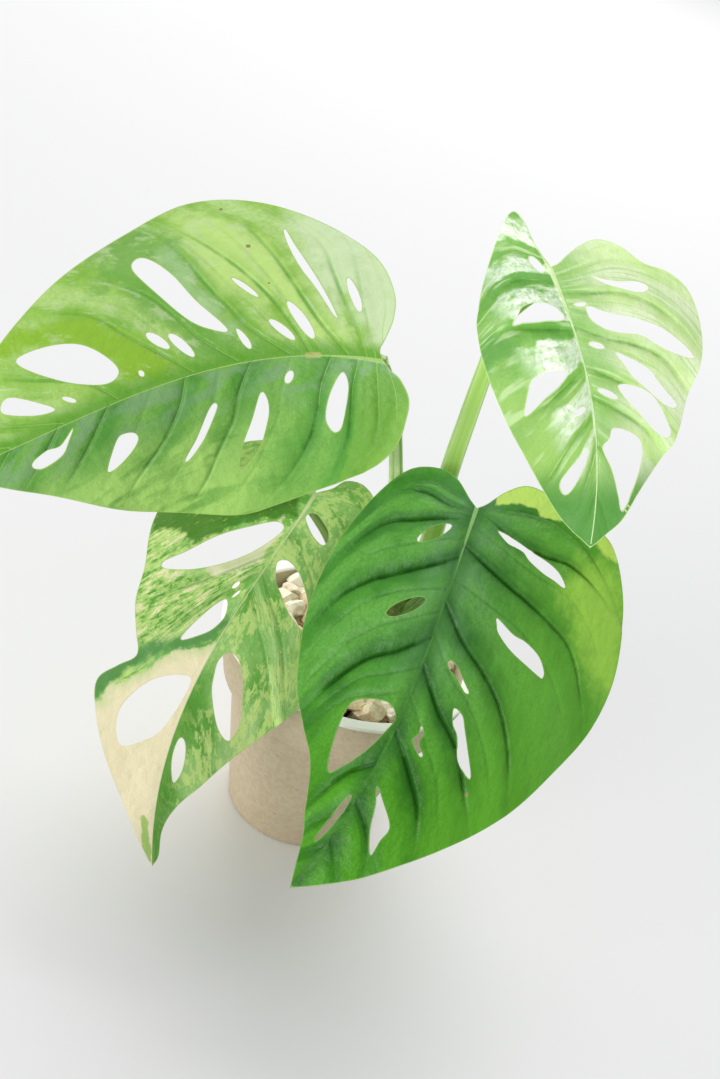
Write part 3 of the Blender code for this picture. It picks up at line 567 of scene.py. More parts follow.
STALKS = [
    dict(name="stalk_1", route=[(12.2, 5.5, 105), (7.6, 5.2, 115), (2.6, 6.0, 131), (-1.8, 5.0, 148),
                                (-7.4, 2.0, 168.6), (-14.6, -4.5, 192)],
         top=(-25.1, -13.8, 210.7), along=(-0.95, 0.18, -0.26), up=(-0.29, -0.84, 0.45),
         radii=(3.6, 2.7, 2.2), node="petiole_1", slot="striped_petiole",
         skin=((0.20, 0.48, 0.04), (0.74, 0.94, 0.44), (0.74, 0.90, 0.52), (0.52, 0.78, 0.24), 0.42, 0.56)),
    dict(name="stalk_2", route=[(14.3, 7.3, 116.6), (15.4, 8.9, 130), (14.8, 10.0, 146), (12.6, 11.0, 167),
                                (11.8, 12.0, 190), (11.4, 13.0, 211), (11.4, 13.6, 230)],
         top=(20.1, 3.4, 254.0), along=(0.66, -0.48, -0.58), up=(-0.27, -0.87, 0.41), radii=(4.3, 3.4, 2.2),
         node="petiole_2", slot="pale_petiole",
         skin=((0.40, 0.75, 0.10), (0.55, 0.88, 0.19), (0.66, 0.88, 0.34), (0.55, 0.86, 0.22), 0.38, 0.66)),
    dict(name="stalk_3", route=[(10.6, 4.8, 98), (17.0, 2.4, 107), (22.0, 0.0, 122), (25.2, -3.6, 143)],
         top=(25.0, -15.9, 169.0), along=(0.0, -0.79, -0.62), up=(-0.08, -0.61, 0.78), radii=(3.3, 2.4, 2.0),
         node="petiole_3", slot="green_petiole",
         skin=((0.10, 0.28, 0.03), (0.28, 0.50, 0.13), (0.50, 0.64, 0.34), (0.20, 0.44, 0.10), 0.40, 0.65)),
    dict(name="stalk_4", route=[(8.8, 4.2, 90), (0.6, 2.0, 96.5), (-10.0, -0.2, 110), (-20.6, -1.0, 128.5)],
         top=(-31.5, -8.0, 148.1), along=(-0.18, -0.80, -0.58), up=(0.04, -0.59, 0.81), radii=(2.9, 2.0, 1.7),
         node="petiole_4", slot="green_petiole",
         skin=((0.12, 0.28, 0.04), (0.30, 0.46, 0.13), (0.60, 0.66, 0.38), (0.34, 0.52, 0.18), 0.42, 0.60)),
]
for one in STALKS:
    top, along, up = (Vector(one[key]) for key in ("top", "along", "up"))
    bend_over = [top - up * behind + along * onward for behind, onward in BEND_OVER]
    path = smooth_path([*one["route"], *bend_over], 10)
    shares = np.linspace(0.0, 1.0, len(path))
    bent_at = 1.0 - 40.0 / len(path)
    radii = np.interp(shares, (0.0, 0.35, bent_at, bent_at + 0.5 * (1.0 - bent_at), 1.0),
                      (*one["radii"], 0.72 * one["radii"][2], 0.35))
    toward_stem = STEM_MIDDLE - path[len(path) // 2]
    toward_stem.z = 0.0
    if toward_stem.length < 4.0:
        toward_stem = Vector((0.3, 1.0, 0.0))
    made = stalk(one["name"], path, radii, toward_stem.normalized(), GROOVE, WINGS)
    made.data.materials.append(stalk_finish(one["name"] + "_skin", *one["skin"]))
    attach(made, "root")
    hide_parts(one["node"])


# ---- first leaf ----
# The largest leaf reaches out to the left, its blade turned to the light. A monstera blade
# is a thin skin quilted between sunk side veins; holes open between the veins as it grows.
# It is drawn flat in mm: stations run along the midrib, offsets across it, positive on the
# right of someone who looks from base to tip.
HALVES = (("right", 1.0), ("left", -1.0))
EDGE_STEP = 0.9
GRID_STEP = 1.05
VEIN_STEP = 1.0
SKIN = 0.5
RIB_THICKNESS = 1.8
RIB_REACH = 2.4
VEIN_THICKNESS = 0.35
THICKEST = 3.0


def bent(values, share):
    """A value that passes through its base, middle and tip values."""
    base, middle, tip = values
    share = np.clip(share, 0.0, 1.05)
    return base + (4 * middle - 3 * base - tip) * share + 2 * (base + tip - 2 * middle) * share**2


def rib_direction(leaf, share):
    """Direction of the midrib at a share of its length, from its heading and its dip."""
    heading = np.radians(bent(leaf["heading"], share))
    dip = np.radians(bent(leaf["dip"], share))
    return np.stack([np.cos(heading) * np.cos(dip), np.sin(heading) * np.cos(dip), -np.sin(dip)], -1)


def rib_frame(leaf, station):
    """Place on the midrib and the directions along, across and up out of the blade."""
    length = leaf["length"]
    share = station / length
    grid = np.linspace(0.0, 1.0, 201)
    steps = rib_direction(leaf, (grid[1:] + grid[:-1]) / 2) * (length / 200)
    spine = np.array(leaf["base"], float) + np.vstack([np.zeros(3), np.cumsum(steps, axis=0)])
    place = np.stack([np.interp(share, grid, spine[:, k]) for k in range(3)], -1)
    place = place + np.minimum(share, 0.0)[..., None] * length * rib_direction(leaf, np.array(0.0))
    along = rib_direction(leaf, share)
    heading = np.radians(bent(leaf["heading"], share))
    level_across = np.stack([np.sin(heading), -np.cos(heading), np.zeros_like(heading)], -1)
    level_up = np.cross(level_across, along)
    roll = math.radians(leaf["roll"])
    across = math.cos(roll) * level_across - math.sin(roll) * level_up
    up = math.cos(roll) * level_up + math.sin(roll) * level_across
    return place, along, across, up


def even_points(points, step):
    """The same line with points about one step apart, and its ends kept."""
    points = np.array([tuple(p)[:2] for p in points])
    lengths = np.concatenate([[0.0], np.cumsum(np.hypot(*np.diff(points, axis=0).T))])
    marks = np.linspace(0.0, lengths[-1], max(2, round(lengths[-1] / step) + 1))
    return np.stack([np.interp(marks, lengths, points[:, k]) for k in range(2)], -1)


def outline_loop(leaf):
    """The margin as one loop: up the right half from the base, and back down the left half."""
    halves = []
    for side, sign in HALVES:
        points = [(-1.0, 0.0), *leaf[side], (leaf["length"], 0.0)]
        path = smooth_path([(s, sign * t, 0.0) for s, t in points], 12)
        halves.append(even_points(path, EDGE_STEP))
    return np.vstack([halves[0], halves[1][-2:0:-1]])


def hole_loop(hole):
    """A smooth loop through the hole's points, or an egg between its inner and outer end."""
    if isinstance(hole, list):
        path = smooth_path([(s, t, 0.0) for s, t in hole * 3], 12)
        return even_points(path[12 * len(hole):24 * len(hole) + 1], EDGE_STEP)[:-1]
    s0, t0, s1, t1, width, egg = hole
    axis = np.array([s1 - s0, t1 - t0]) / 2
    half = math.hypot(*axis)
    normal = np.array([-axis[1], axis[0]]) / half
    count = max(14, round((4 * half + 2.6 * width) / 2.2 / EDGE_STEP))
    turn = np.linspace(0.0, math.tau, count, endpoint=False)
    wide = np.sin(turn) * (1.0 + egg * np.cos(turn))
    centre = np.array([(s0 + s1) / 2, (t0 + t1) / 2])
    return centre + np.cos(turn)[:, None] * axis + (wide * width / 2)[:, None] * normal


def loop_distance(points, loop):
    """Distance of each point to a closed loop."""
    nearest = np.full(len(points), 1e9)
    for a, d in zip(loop, np.roll(loop, -1, axis=0) - loop):
        u = np.clip(((points - a) @ d) / max(d @ d, 1e-12), 0.0, 1.0)
        nearest = np.minimum(nearest, np.hypot(*(points - a - u[:, None] * d).T))
    return nearest


def inside(points, loop):
    """Which points lie inside a closed loop."""
    x, y = points[:, 0], points[:, 1]
    result = np.zeros(len(points), bool)
    for (x0, y0), (x1, y1) in zip(loop, np.roll(loop, -1, axis=0)):
        if y0 != y1:
            crosses = (y0 > y) != (y1 > y)
            result ^= crosses & (x < (x1 - x0) * (y - y0) / (y1 - y0) + x0)
    return result


def in_skin(points, loops, clearance=None):
    """Which points lie inside the margin and outside the holes, and clear of both if asked."""
    kept = inside(points, loops[0])
    for hole in loops[1:]:
        kept &= ~inside(points, hole)
    if clearance:
        for loop in loops:
            kept[kept] = loop_distance(points[kept], loop) > clearance
    return kept


def signed_distance(points, loop):
    """Distance to a patch's border, positive inside the patch."""
    loop = np.array(loop, float)
    return np.where(inside(points, loop), 1.0, -1.0) * loop_distance(points, loop)


def vein_rows(veins):
    """Station of each vein of one side at every whole mm from the midrib, in order."""
    rows = []
    for stations in veins:
        stations = list(stations)
        while len(stations) < 10:
            stations.append(2 * stations[-1] - stations[-2])
        path = smooth_path([(10.0 * i, s, 0.0) for i, s in enumerate(stations)], 10)
        rows.append([p.y for p in path])
    rows = np.array(rows)
    for i in range(1, len(rows)):
        rows[i] = np.maximum(rows[i], rows[i - 1] + 1.5)
    return np.vstack([rows[0] - 18.0, rows, rows[-1] + 18.0])


def between_veins(rows, station, distance):
    """Share of the way to the next vein, distance to the nearer one, and vein number plus share."""
    mark = np.clip(distance, 0.0, rows.shape[1] - 1.001)
    whole = mark.astype(int)
    part = mark - whole
    here = rows[:, whole] * (1.0 - part) + rows[:, whole + 1] * part
    lower = np.clip((here < station).sum(axis=0) - 1, 0, len(rows) - 2)
    pick = np.arange(len(station))
    before, after = here[lower, pick], here[lower + 1, pick]
    share = np.clip((station - before) / (after - before), 0.0, 1.0)
    slopes = np.gradient(rows, axis=1)
    gaps = []
    for row, edge in ((lower, before), (lower + 1, after)):
        gaps.append(np.abs(station - edge) / np.hypot(1.0, slopes[row, whole]))
    return share, np.minimum(*gaps), lower + share


def blade_marks(leaf, flat, loops):
    """What the shape and the colour of a blade need at each flat point."""
    station, offset = flat.T
    marks = {"rib_gap": np.abs(offset), "side": np.sign(offset)}
    marks["margin_gap"] = loop_distance(flat, loops[0])
    marks["edge_gap"] = marks["margin_gap"].copy()
    for hole in loops[1:]:
        marks["edge_gap"] = np.minimum(marks["edge_gap"], loop_distance(flat, hole))
    for key in ("main_share", "all_share", "vein_gap", "faint_gap", "phase"):
        marks[key] = np.zeros(len(flat))
    for side, sign in HALVES:
        half = (offset * sign >= 0.0)
        main = vein_rows(leaf["veins_" + side])
        every = vein_rows(sorted([*leaf["veins_" + side], *leaf["faint_" + side]], key=lambda v: v[1]))
        place = station[half], np.abs(offset[half])
        marks["main_share"][half], marks["vein_gap"][half], marks["phase"][half] = between_veins(main, *place)
        marks["all_share"][half], marks["faint_gap"][half], _ = between_veins(every, *place)
    return marks


def dome(share):
    """A pillow between two veins: zero on each vein, with a crease there."""
    return (4.0 * share * (1.0 - share))**0.7


def rise(gap, reach, least=0.0):
    """A share that grows with a gap, from a least value up to 1 at a reach."""
    return np.clip(gap / reach, least, 1.0)


def blade_places(leaf, flat, marks):
    """Points of the blade's upper face: the folded and curled halves, with their relief."""
    station, offset = flat.T
    place, _, across, up = rib_frame(leaf, station)
    distance = np.abs(offset)
    fold = math.radians(leaf["fold"])
    curl = math.radians(leaf["curl"]) / 10.0
    out = (np.sin(fold + curl * distance) - math.sin(fold)) / curl
    drop = (np.cos(fold + curl * distance) - math.cos(fold)) / curl
    pillow = 0.72 * dome(marks["main_share"]) + 0.28 * dome(marks["all_share"]) - 0.15
    pillow = pillow * rise(distance, 7.0) * rise(marks["margin_gap"], 18.0, 0.12)
    bumps = np.array([noise.fractal(Vector((s, t, leaf["length"])) / 8.5, 0.6, 2.0, 3) for s, t in flat])
    bumps = bumps * rise(distance, 5.0) * rise(marks["edge_gap"], 4.0, 0.2)
    ripple = np.sin(math.pi * marks["phase"] + 0.6) * np.exp(-marks["margin_gap"] / 9.0)
    ripple = ripple * rise(distance, 16.0)
    lift = drop + np.where(offset > 0.0, *leaf["quilt"]) * pillow
    lift = lift + leaf["wave"] * ripple + leaf["pucker"] * bumps
    return place + (np.sign(offset) * out)[..., None] * across + lift[..., None] * up


def vein_lines(leaf):
    """The midrib and the side veins, each as a row of flat points."""
    lines = [[(s, 0.0) for s in np.arange(0.0, leaf["length"] - 1.0, VEIN_STEP)]]
    for side, sign in HALVES:
        for row in vein_rows(leaf["veins_" + side])[1:-1]:
            marks = np.arange(0.8, 88.0, VEIN_STEP)
            stations = np.interp(marks, np.arange(len(row)), row)
            lines.append([(s, sign * t) for s, t in zip(stations, marks)])
    return [np.array(line) for line in lines]


def even_grid(loops, avoid):
    """Points in staggered rows that fill the skin, clear of its edges and of the points to avoid."""
    lowest, highest = loops[0].min(axis=0), loops[0].max(axis=0)
    grid = []
    for j, t in enumerate(np.arange(lowest[1], highest[1], GRID_STEP * math.sqrt(0.75))):
        for s in np.arange(lowest[0] + (j % 2) * GRID_STEP / 2, highest[0], GRID_STEP):
            grid.append((s, t))
    grid = np.array(grid)
    grid = grid[in_skin(grid, loops, 0.6 * GRID_STEP)]
    clear = []
    for start in range(0, len(grid), 2000):
        part = grid[start:start + 2000]
        gaps = np.hypot(part[:, None, 0] - avoid[None, :, 0], part[:, None, 1] - avoid[None, :, 1])
        clear.append(part[gaps.min(axis=1) > 0.6 * GRID_STEP])
    return np.vstack(clear)


def flat_skin(leaf, loops):
    """Flat points and triangles of the skin, with edges along its loops, midrib and side veins."""
    points, edges = [], []
    for loop in loops:
        first = len(points)
        points += [tuple(p) for p in loop]
        edges += [(first + i, first + (i + 1) % len(loop)) for i in range(len(loop))]
    vein_points = []
    for line in vein_lines(leaf):
        clear = in_skin(line, loops, 0.5 * EDGE_STEP)
        for i in np.flatnonzero(clear):
            if i and clear[i - 1] and np.hypot(*(line[i] - line[i - 1])) < 4.0:
                edges.append((len(points) - 1, len(points)))
            points.append(tuple(line[i]))
            vein_points.append(line[i])
    points += [tuple(p) for p in even_grid(loops, np.array(vein_points))]
    flat, _, faces, *_ = geometry.delaunay_2d_cdt([Vector(p) for p in points], edges, [], 1, 1e-4)
    flat = np.array([tuple(p) for p in flat])
    corners = np.array([tuple(face) for face in faces])
    corners = corners[in_skin(flat[corners].mean(axis=1), loops)]
    used = np.unique(corners)
    renumber = np.zeros(len(flat), int)
    renumber[used] = np.arange(len(used))
    return flat[used], renumber[corners]


def thicken(blade, leaf, flat, marks):
    """Give the skin its thickness, with a tapering midrib, faint veins and thin edges."""
    taper = 1.0 - np.clip(flat[:, 0] / leaf["length"], 0.0, 1.0)
    thick = SKIN + RIB_THICKNESS * taper * np.clip(1.0 - marks["rib_gap"] / RIB_REACH, 0.0, 1.0)
    thick = thick + VEIN_THICKNESS * np.exp(-(marks["vein_gap"] / 0.7)**2) * np.exp(-marks["rib_gap"] / 25.0)
    thick = thick * np.clip(0.55 + 0.45 * marks["edge_gap"] / 1.2, 0.0, 1.0)
    shares = blade.vertex_groups.new(name="thickness")
    for i, value in enumerate(thick / THICKEST):
        shares.add([i], float(value), "REPLACE")
    skin = blade.modifiers.new("thickness", "SOLIDIFY")
    skin.thickness = THICKEST * MM
    skin.offset = -1.0
    skin.vertex_group = "thickness"
    skin.use_rim = True
    skin.material_offset = 1
    skin.material_offset_rim = 0
    finish_modifier(blade, skin)
    smooth_over(blade, 60.0)


def leaf_blade(leaf, name):
    """A fine blade: triangulated flat, bent to its shape, then thickened. It carries its marks."""
    loops = [outline_loop(leaf)] + [hole_loop(hole) for hole in leaf["holes"]]
    flat, corners = flat_skin(leaf, loops)
    marks = blade_marks(leaf, flat, loops)
    surface = blade_places(leaf, flat, marks)
    a, b, c = (surface[corners[:, k]] for k in range(3))
    middle_up = rib_frame(leaf, np.array(leaf["length"] / 2))[3]
    if np.cross(b - a, c - a).sum(axis=0) @ middle_up < 0.0:
        corners = corners[:, ::-1]
    mesh = bpy.data.meshes.new(name)
    mesh.from_pydata([tuple(p) for p in surface * MM], [], [tuple(int(i) for i in face) for face in corners])
    made = bpy.data.objects.new(name, mesh)
    bpy.context.scene.collection.objects.link(made)
    mesh.materials.append(None)
    mesh.materials.append(None)
    for key, values in marks.items():
        carry(mesh, key, values)
    for key, border in leaf.get("patches", {}).items():
        carry(mesh, key, signed_distance(flat, border))
    carry(mesh, "flat", np.column_stack([flat, np.zeros(len(flat))]))
    carry(mesh, "flow", np.column_stack([marks["phase"] * 14.0, marks["rib_gap"], marks["side"] * 6.0]))
    thicken(made, leaf, flat, marks)
    return made


def pillow_share(tree):
    """Share that is 1 midway between two side veins and 0 on them."""
    share = read(tree, "main_share")
    return product(tree, share, maths(tree, "SUBTRACT", 1.0, share), 4.0)


def leaf_ground(tree, deep, middle, bright):
    """Leaf green that drifts over the blade, with painted light on the pillows between the veins, and finer
    mottling.
    """
    flat = read(tree, "flat", "Vector")
    flow = read(tree, "flow", "Vector")
    tone = tint(tree, deep, middle, cloud(tree, flat, 0.05, 3.0), 0.38, 0.62)
    # painted light: the pillows between the veins, with streaks over them, are painted brighter, as where
    # they swell up into the light
    pillow = product(tree, pillow_share(tree), fade(tree, read(tree, "vein_gap"), 0.5, 2.5))
    streaks = cloud(tree, flow, 0.22, 4.0, 0.6, (1.0, 0.35, 1.0))
    swell = maths(tree, "MULTIPLY_ADD", streaks, 1.6, maths(tree, "SUBTRACT", pillow, 0.8))
    tone = tint(tree, tone, bright, swell, 0.35, 1.1, 0.75)
    tone = tint(tree, tone, deep, cloud(tree, flat, 0.8, 4.0, 0.65), 0.38, 0.62, 0.30)
    net = node_of(tree, "ShaderNodeTexVoronoi", {"feature": "DISTANCE_TO_EDGE"}, Vector=flow, Scale=0.20)
    return tint(tree, tone, deep, net.outputs["Distance"], 0.05, 0.0, 0.25)


def patch(tree, tone, colour, name, wander, soft, share=1.0):
    """Lay a colour over a patch of the blade, whose soft border wanders by some mm."""
    drift = maths(tree, "SUBTRACT", cloud(tree, read(tree, "flat", "Vector"), 0.16, 4.0, 0.65), 0.5)
    within = maths(tree, "MULTIPLY_ADD", drift, wander, read(tree, name))
    return tint(tree, tone, colour, within, -soft, soft, share)


def crease(tree, tone, dark, wide, wide_share, flank, line):
    """Paint shade into the hollow along each side vein, most on the side that faces the base."""
    vein_gap = read(tree, "vein_gap")
    drift = cloud(tree, read(tree, "flat", "Vector"), 0.09, 2.0)
    inner = product(tree, fade(tree, read(tree, "margin_gap"), 3.0, 20.0, 0.06, 1.0),
                    fade(tree, drift, 0.34, 0.56, 0.4, 1.0),
                    fade(tree, read(tree, "rib_gap"), 18.0, 55.0, 1.0, 0.4))
    # painted shade on the base side of each vein, where the pillow slopes down into the hollow
    before = product(tree, fade(tree, read(tree, "main_share"), 0.5, 0.95),
                     fade(tree, vein_gap, 0.3, 1.8, 0.0, flank), inner)
    tone = blend(tree, before, tone, dark)
    # painted shade along each vein and faint vein: a wide soft band and a narrow dark line
    for gap, reach, strength in ((vein_gap, wide, wide_share), (vein_gap, 0.8, line),
                                 (read(tree, "faint_gap"), 0.9, 0.4 * line)):
        near = product(tree, fade(tree, gap, reach, 0.15, 0.0, strength), inner)
        tone = blend(tree, near, tone, dark)
    return tone


def spot(tree, tone, colour, station, offset, reach, share):
    """Lay a small round spot at a flat place."""
    away = node_of(tree, "ShaderNodeVectorMath", {"operation": "DISTANCE"})
    plug_in(tree, away.inputs[0], read(tree, "flat", "Vector"))
    plug_in(tree, away.inputs[1], (station, offset, 0.0))
    return tint(tree, tone, colour, away.outputs["Value"], reach, 0.6 * reach, share)


def blade_reads(tree):
    """Place along the veins, distance from the midrib, and station."""
    station = part_of(tree, read(tree, "flat", "Vector"), "X")
    return read(tree, "flow", "Vector"), read(tree, "rib_gap"), station


def leaf_seal(tree, shader, tone, margin, rib, rib_width, depth, veins):
    """Draw the pale margin and midrib over a blade's colour and give the skin its relief."""
    tone = tint(tree, tone, margin, read(tree, "edge_gap"), 0.40, 0.12, 0.7)
    flow, rib_gap, station = blade_reads(tree)
    flat = read(tree, "flat", "Vector")
    wider = fade(tree, station, 26.0, -4.0, 0.0, 0.6)
    slimmer = maths(tree, "MULTIPLY_ADD", station, 0.006, 1.0)
    off_rib = maths(tree, "SUBTRACT", product(tree, rib_gap, slimmer), wider)
    paint(tree, shader, tint(tree, tone, rib, off_rib, rib_width, rib_width * 0.45))
    height = product(tree, cloud(tree, flat, 0.28, 3.0, 0.5), 1.1)
    across = product(tree, cloud(tree, flow, 0.40, 3.0, 0.55, (0.6, 1.2, 1.0)), fade(tree, rib_gap, 0.8, 2.4))
    height = maths(tree, "MULTIPLY_ADD", across, 0.45, height)
    height = maths(tree, "MULTIPLY_ADD", cloud(tree, flat, 1.8, 3.0, 0.6), 0.16, height)
    inner = fade(tree, read(tree, "margin_gap"), 3.0, 16.0, 0.1, 1.0)
    for name, reach, sink in (("vein_gap", 1.3, -0.35 * veins), ("faint_gap", 1.1, -0.18 * veins)):
        dip = fade(tree, read(tree, name), 0.0, reach, sink, 0.0)
        height = maths(tree, "MULTIPLY_ADD", dip, inner, height)
    height = maths(tree, "ADD", height, fade(tree, off_rib, 0.1, 0.7, 0.10, 0.0))
    relief(tree, shader, height, depth * MM)


def leaf_back(face):
    """The underside: the same patches, paler and more matte, with the veins standing out of it."""
    made = face.copy()
    tree = made.node_tree
    shader = tree.nodes["Principled BSDF"]
    for link in list(shader.inputs["Roughness"].links):
        tree.links.remove(link)
    shader.inputs["Roughness"].default_value = 0.55
    tone = blend(tree, 0.30, shader.inputs["Base Color"].links[0].from_socket, (0.46, 0.60, 0.32))
    ribs = maths(tree, "MAXIMUM", fade(tree, read(tree, "vein_gap"), 0.9, 0.3, 0.0, 0.6),
                 fade(tree, read(tree, "rib_gap"), 2.0, 1.1))
    paint(tree, shader, blend(tree, ribs, tone, (0.42, 0.60, 0.26)))
    net = node_of(tree, "ShaderNodeTexVoronoi", {"feature": "DISTANCE_TO_EDGE"},
                  Vector=read(tree, "flat", "Vector"), Scale=0.45)
    height = maths(tree, "MULTIPLY_ADD", fade(tree, net.outputs["Distance"], 0.10, 0.0), 0.3, ribs)
    relief(tree, shader, height, 0.4 * MM)
    return made


def hang_leaf(blade, face, node):
    """Give a blade the finish of its upper face and of its underside, and its place in the frame."""
    blade.data.materials[0] = face
    blade.data.materials[1] = leaf_back(face)
    blade.data.materials[1].name = face.name.replace("_face", "_back")
    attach(blade, "root")
    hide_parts(node)


leaf_1 = dict(
    base=(-24, -14, 211), heading=(168, 217, 204), dip=(15, 25, 35), length=155, roll=-62, fold=12,
    curl=3.0, quilt=(0.6, 1.6), wave=1.0, pucker=0.35,
    right=[(1.2, 4), (0.5, 9), (0, 16), (2, 26), (9, 39), (22, 50.5), (37, 59), (52, 60), (69, 53.5),
           (94, 44.5), (118, 33), (137, 20), (149, 8)],
    left=[(-4, 2.5), (-8, 5), (-12, 11), (-12, 18), (-9.5, 28), (-2, 37), (9, 43.5), (23, 49.5),
          (41, 56), (58, 59), (77, 53.5), (101, 41.5), (122, 24), (138, 11), (149, 4)],
    veins_right=[(-1, 2, 3.3, 6.5, 10.5, 16, 24), (1.5, 6, 9.5, 12, 14.6, 20, 29),
                 (4.5, 9.5, 14.6, 18.2, 21.3, 27.5, 37), (10.5, 20, 26, 30.5, 35, 40.5, 51),
                 (23.5, 29.3, 34.8, 41, 48, 56, 66), (30, 42, 48.5, 53.5, 57, 63, 74),
                 (48, 58.3, 64.4, 70.5, 81, 93, 105), (63.5, 73, 81.3, 89.3, 108, 122, 136),
                 (90.5, 99.5, 119, 136, 150), (109, 135, 155), (128, 155)],
    faint_right=[(0.5, 4, 6.5, 9.5, 12.5, 18), (17, 25, 31, 36, 41, 47, 58),
                 (27, 35, 42, 48, 53, 60, 70), (39, 50, 57, 62, 70, 79, 90), (56, 66, 73, 80, 95, 108),
                 (77, 86, 100, 112)],
    veins_left=[(-2, -7, -8.5, -6, 0, 8, 18), (1.5, -0.8, -2.2, -0.8, 5, 13, 23),
                (7.5, 9, 9, 10.2, 13.8, 20, 29), (17, 20.7, 22.3, 25.8, 32.3, 41.5, 53),
                (44.5, 50.5, 54.8, 62.3, 69.3, 79, 90), (67.5, 72.5, 81.5, 95, 106, 120),
                (95, 105.7, 118, 130, 144), (113, 125, 139), (130, 143, 157)],
    faint_left=[(31, 35, 37.5, 43, 50, 60, 72), (5, 4, 3.5, 5, 9, 16), (56, 60, 66, 77, 87, 99),
                (80, 88, 99, 111)],
    holes=[[(50, 12), (56, 14), (61, 18.5), (66, 27), (71.5, 39.5), (69.5, 43.5), (66, 42), (61.5, 35),
            (57, 24)],
           (69.5, 10.8, 74.8, 18, 3.1, 0.1), (62.7, 5.8, 68.2, 15.5, 3.2, 0.1),
           [(87.5, 9.5), (93, 7), (103.5, 12), (113.5, 21), (115.5, 26), (106, 26), (96.5, 23),
            (90.5, 17)],
           [(111.5, 6), (118, 6.8), (127, 11.5), (126, 15), (122.5, 15.3), (116.5, 11)],
           (104.2, 5.5, 107.8, 8.5, 1.6, 0.0), (80.7, 4.8, 81.3, 7, 1.7, 0.0),
           (39, 22, 45.5, 30, 1.8, 0.0), (44, 4.3, 47.2, 12, 2.3, -0.2),
           (29.3, 5.8, 36.8, 13.6, 2.8, 0.0), (23.2, 6, 30.8, 19.6, 3.4, -0.1),
           [(30.2, 47.5), (28, 41), (25, 33.8), (21.5, 26), (16.3, 14.2), (17.5, 15), (19.6, 18.6),
            (23, 25), (26.5, 31.5), (29, 38.5), (30.3, 44.5)],
           (9.7, 16.5, 14.5, 29, 2.6, -0.1), (31, -5, 33.4, -9.2, 2.8, 0.0),
           [(12, -6), (10.5, -11), (11.5, -20), (13, -25.5), (16, -26.7), (19, -22.5), (18, -15),
            (14, -6.5)],
           [(43, -11.5), (41, -14), (41, -19), (43.5, -26), (46.5, -32), (51, -36.5), (55, -39.3),
            (55.3, -36), (53, -30), (47.5, -20.5)],
           [(59.3, -12.7), (61.8, -12.7), (69.5, -22.8), (75.5, -29.2), (74.3, -30), (67.5, -24.4),
            (62, -17.3)],
           [(103.8, -21.5), (101, -22.3), (94, -19), (90, -15.5), (90.3, -12.7), (93.5, -11.4),
            (97, -12.5)],
           [(109, -2.2), (115, -5.9), (120, -5.6), (125.5, -7.2), (126, -9.5), (123, -10.8), (116, -9.4),
            (112, -5.6)]],
    patches=dict(
        pale_patch=[(28.5, 57.6), (18.3, 56.6), (7.2, 42.1), (-2, 28.1), (-4.3, 14.6), (-0.7, 3.8),
                    (4.5, 5.4), (10.4, 14.5), (14.5, 20.7), (15.6, 12.5), (20.5, 24), (26, 37.2),
                    (29.4, 48.7)],
        light_patch=[(55.8, 53.9), (48.6, 56.3), (44.2, 53.1), (36.1, 43.4), (31, 33.4), (25.9, 23.9),
                     (18.6, 13.8), (10.9, 4.6), (20.8, 6.5), (27.7, 11.2), (32, 20.4), (38.4, 20.3),
                     (43.7, 27.6), (49.2, 25.7), (54.2, 32.7), (55.9, 43)],
        grey_patch=[(65.4, 55.6), (58.5, 48.3), (54.2, 38), (53.2, 29.2), (49.2, 19.9), (43, 9.2),
                    (32.1, 1.9), (41, 1.1), (52.7, 0.8), (62.3, 1.5), (65, 8.3), (68.1, 17.1),
                    (73.6, 27.7), (78.2, 34.5), (84.5, 37.8), (79.7, 44.2), (81.5, 51.1), (70.4, 57.4)],
        ash_patch=[(62.6, 44.9), (58.6, 43), (56.3, 36.2), (54.7, 27.7), (50.4, 16.6), (46.2, 12.9),
                   (49.3, 9.9), (54.6, 17.5), (60.1, 27.7), (62.5, 36.5), (64.2, 40.8)],
        yellow_patch=[(126.7, 38.4), (116.5, 36.7), (103.7, 34.4), (89.6, 28.1), (77, 18), (70.5, 10),
                      (67.1, 1.8), (76.4, 1.3), (86.5, 4.4), (88.8, 13.9), (95.5, 22.2), (106.9, 27.3),
                      (117.4, 27.4), (131.3, 28.7)],
        lobe_patch=[(6.1, -6.4), (-0.2, -3.4), (-11.4, -5.9), (-16.6, -17), (-11.2, -32.2),
                    (-1.1, -43.5), (14.3, -46.6), (10.7, -36.9), (7.5, -28.4), (6.7, -17.6)],
        edge_patch=[(-9.3, -11.4), (-17.8, -13.3), (-14.6, -29.7), (-3.1, -44.9), (10.9, -46.1),
                    (3.1, -37.2), (-4.2, -28.5), (-8.3, -19.9)]))
leaf_1_blade = leaf_blade(leaf_1, "bright_leaf")
face, tree, shader = new_finish("bright_leaf_face", 0.40, 0.3)
flow, rib_gap, station = blade_reads(tree)
# the lower half is a fuller green, with a painted grey sheen of reflected light near the midrib and painted
# shade in its deep creases
tone = leaf_ground(tree, (0.11, 0.37, 0.045), (0.16, 0.45, 0.065), (0.28, 0.58, 0.11))
sunny = product(tree, fade(tree, rib_gap, 8.0, 32.0), fade(tree, station, 24.0, 70.0, 0.0, 0.95),
                fade(tree, cloud(tree, flow, 0.14, 3.0, 0.55), 0.36, 0.54, 0.35, 1.0))
tone = blend(tree, sunny, tone, (0.48, 0.80, 0.19))
# painted sheen: a grey reflection of light near the midrib
sheen = product(tree, fade(tree, cloud(tree, flow, 0.16, 3.0, 0.5), 0.42, 0.60),
                fade(tree, rib_gap, 22.0, 5.0, 0.0, 0.75))
tone = blend(tree, sheen, tone, (0.25, 0.46, 0.21))
tone = patch(tree, tone, (0.17, 0.43, 0.045), "lobe_patch", 10.0, 0.8)
tone = patch(tree, tone, (0.23, 0.50, 0.06), "edge_patch", 14.0, 2.5)
tone = crease(tree, tone, (0.055, 0.25, 0.035), 3.0, 0.30, 0.35, 0.50)
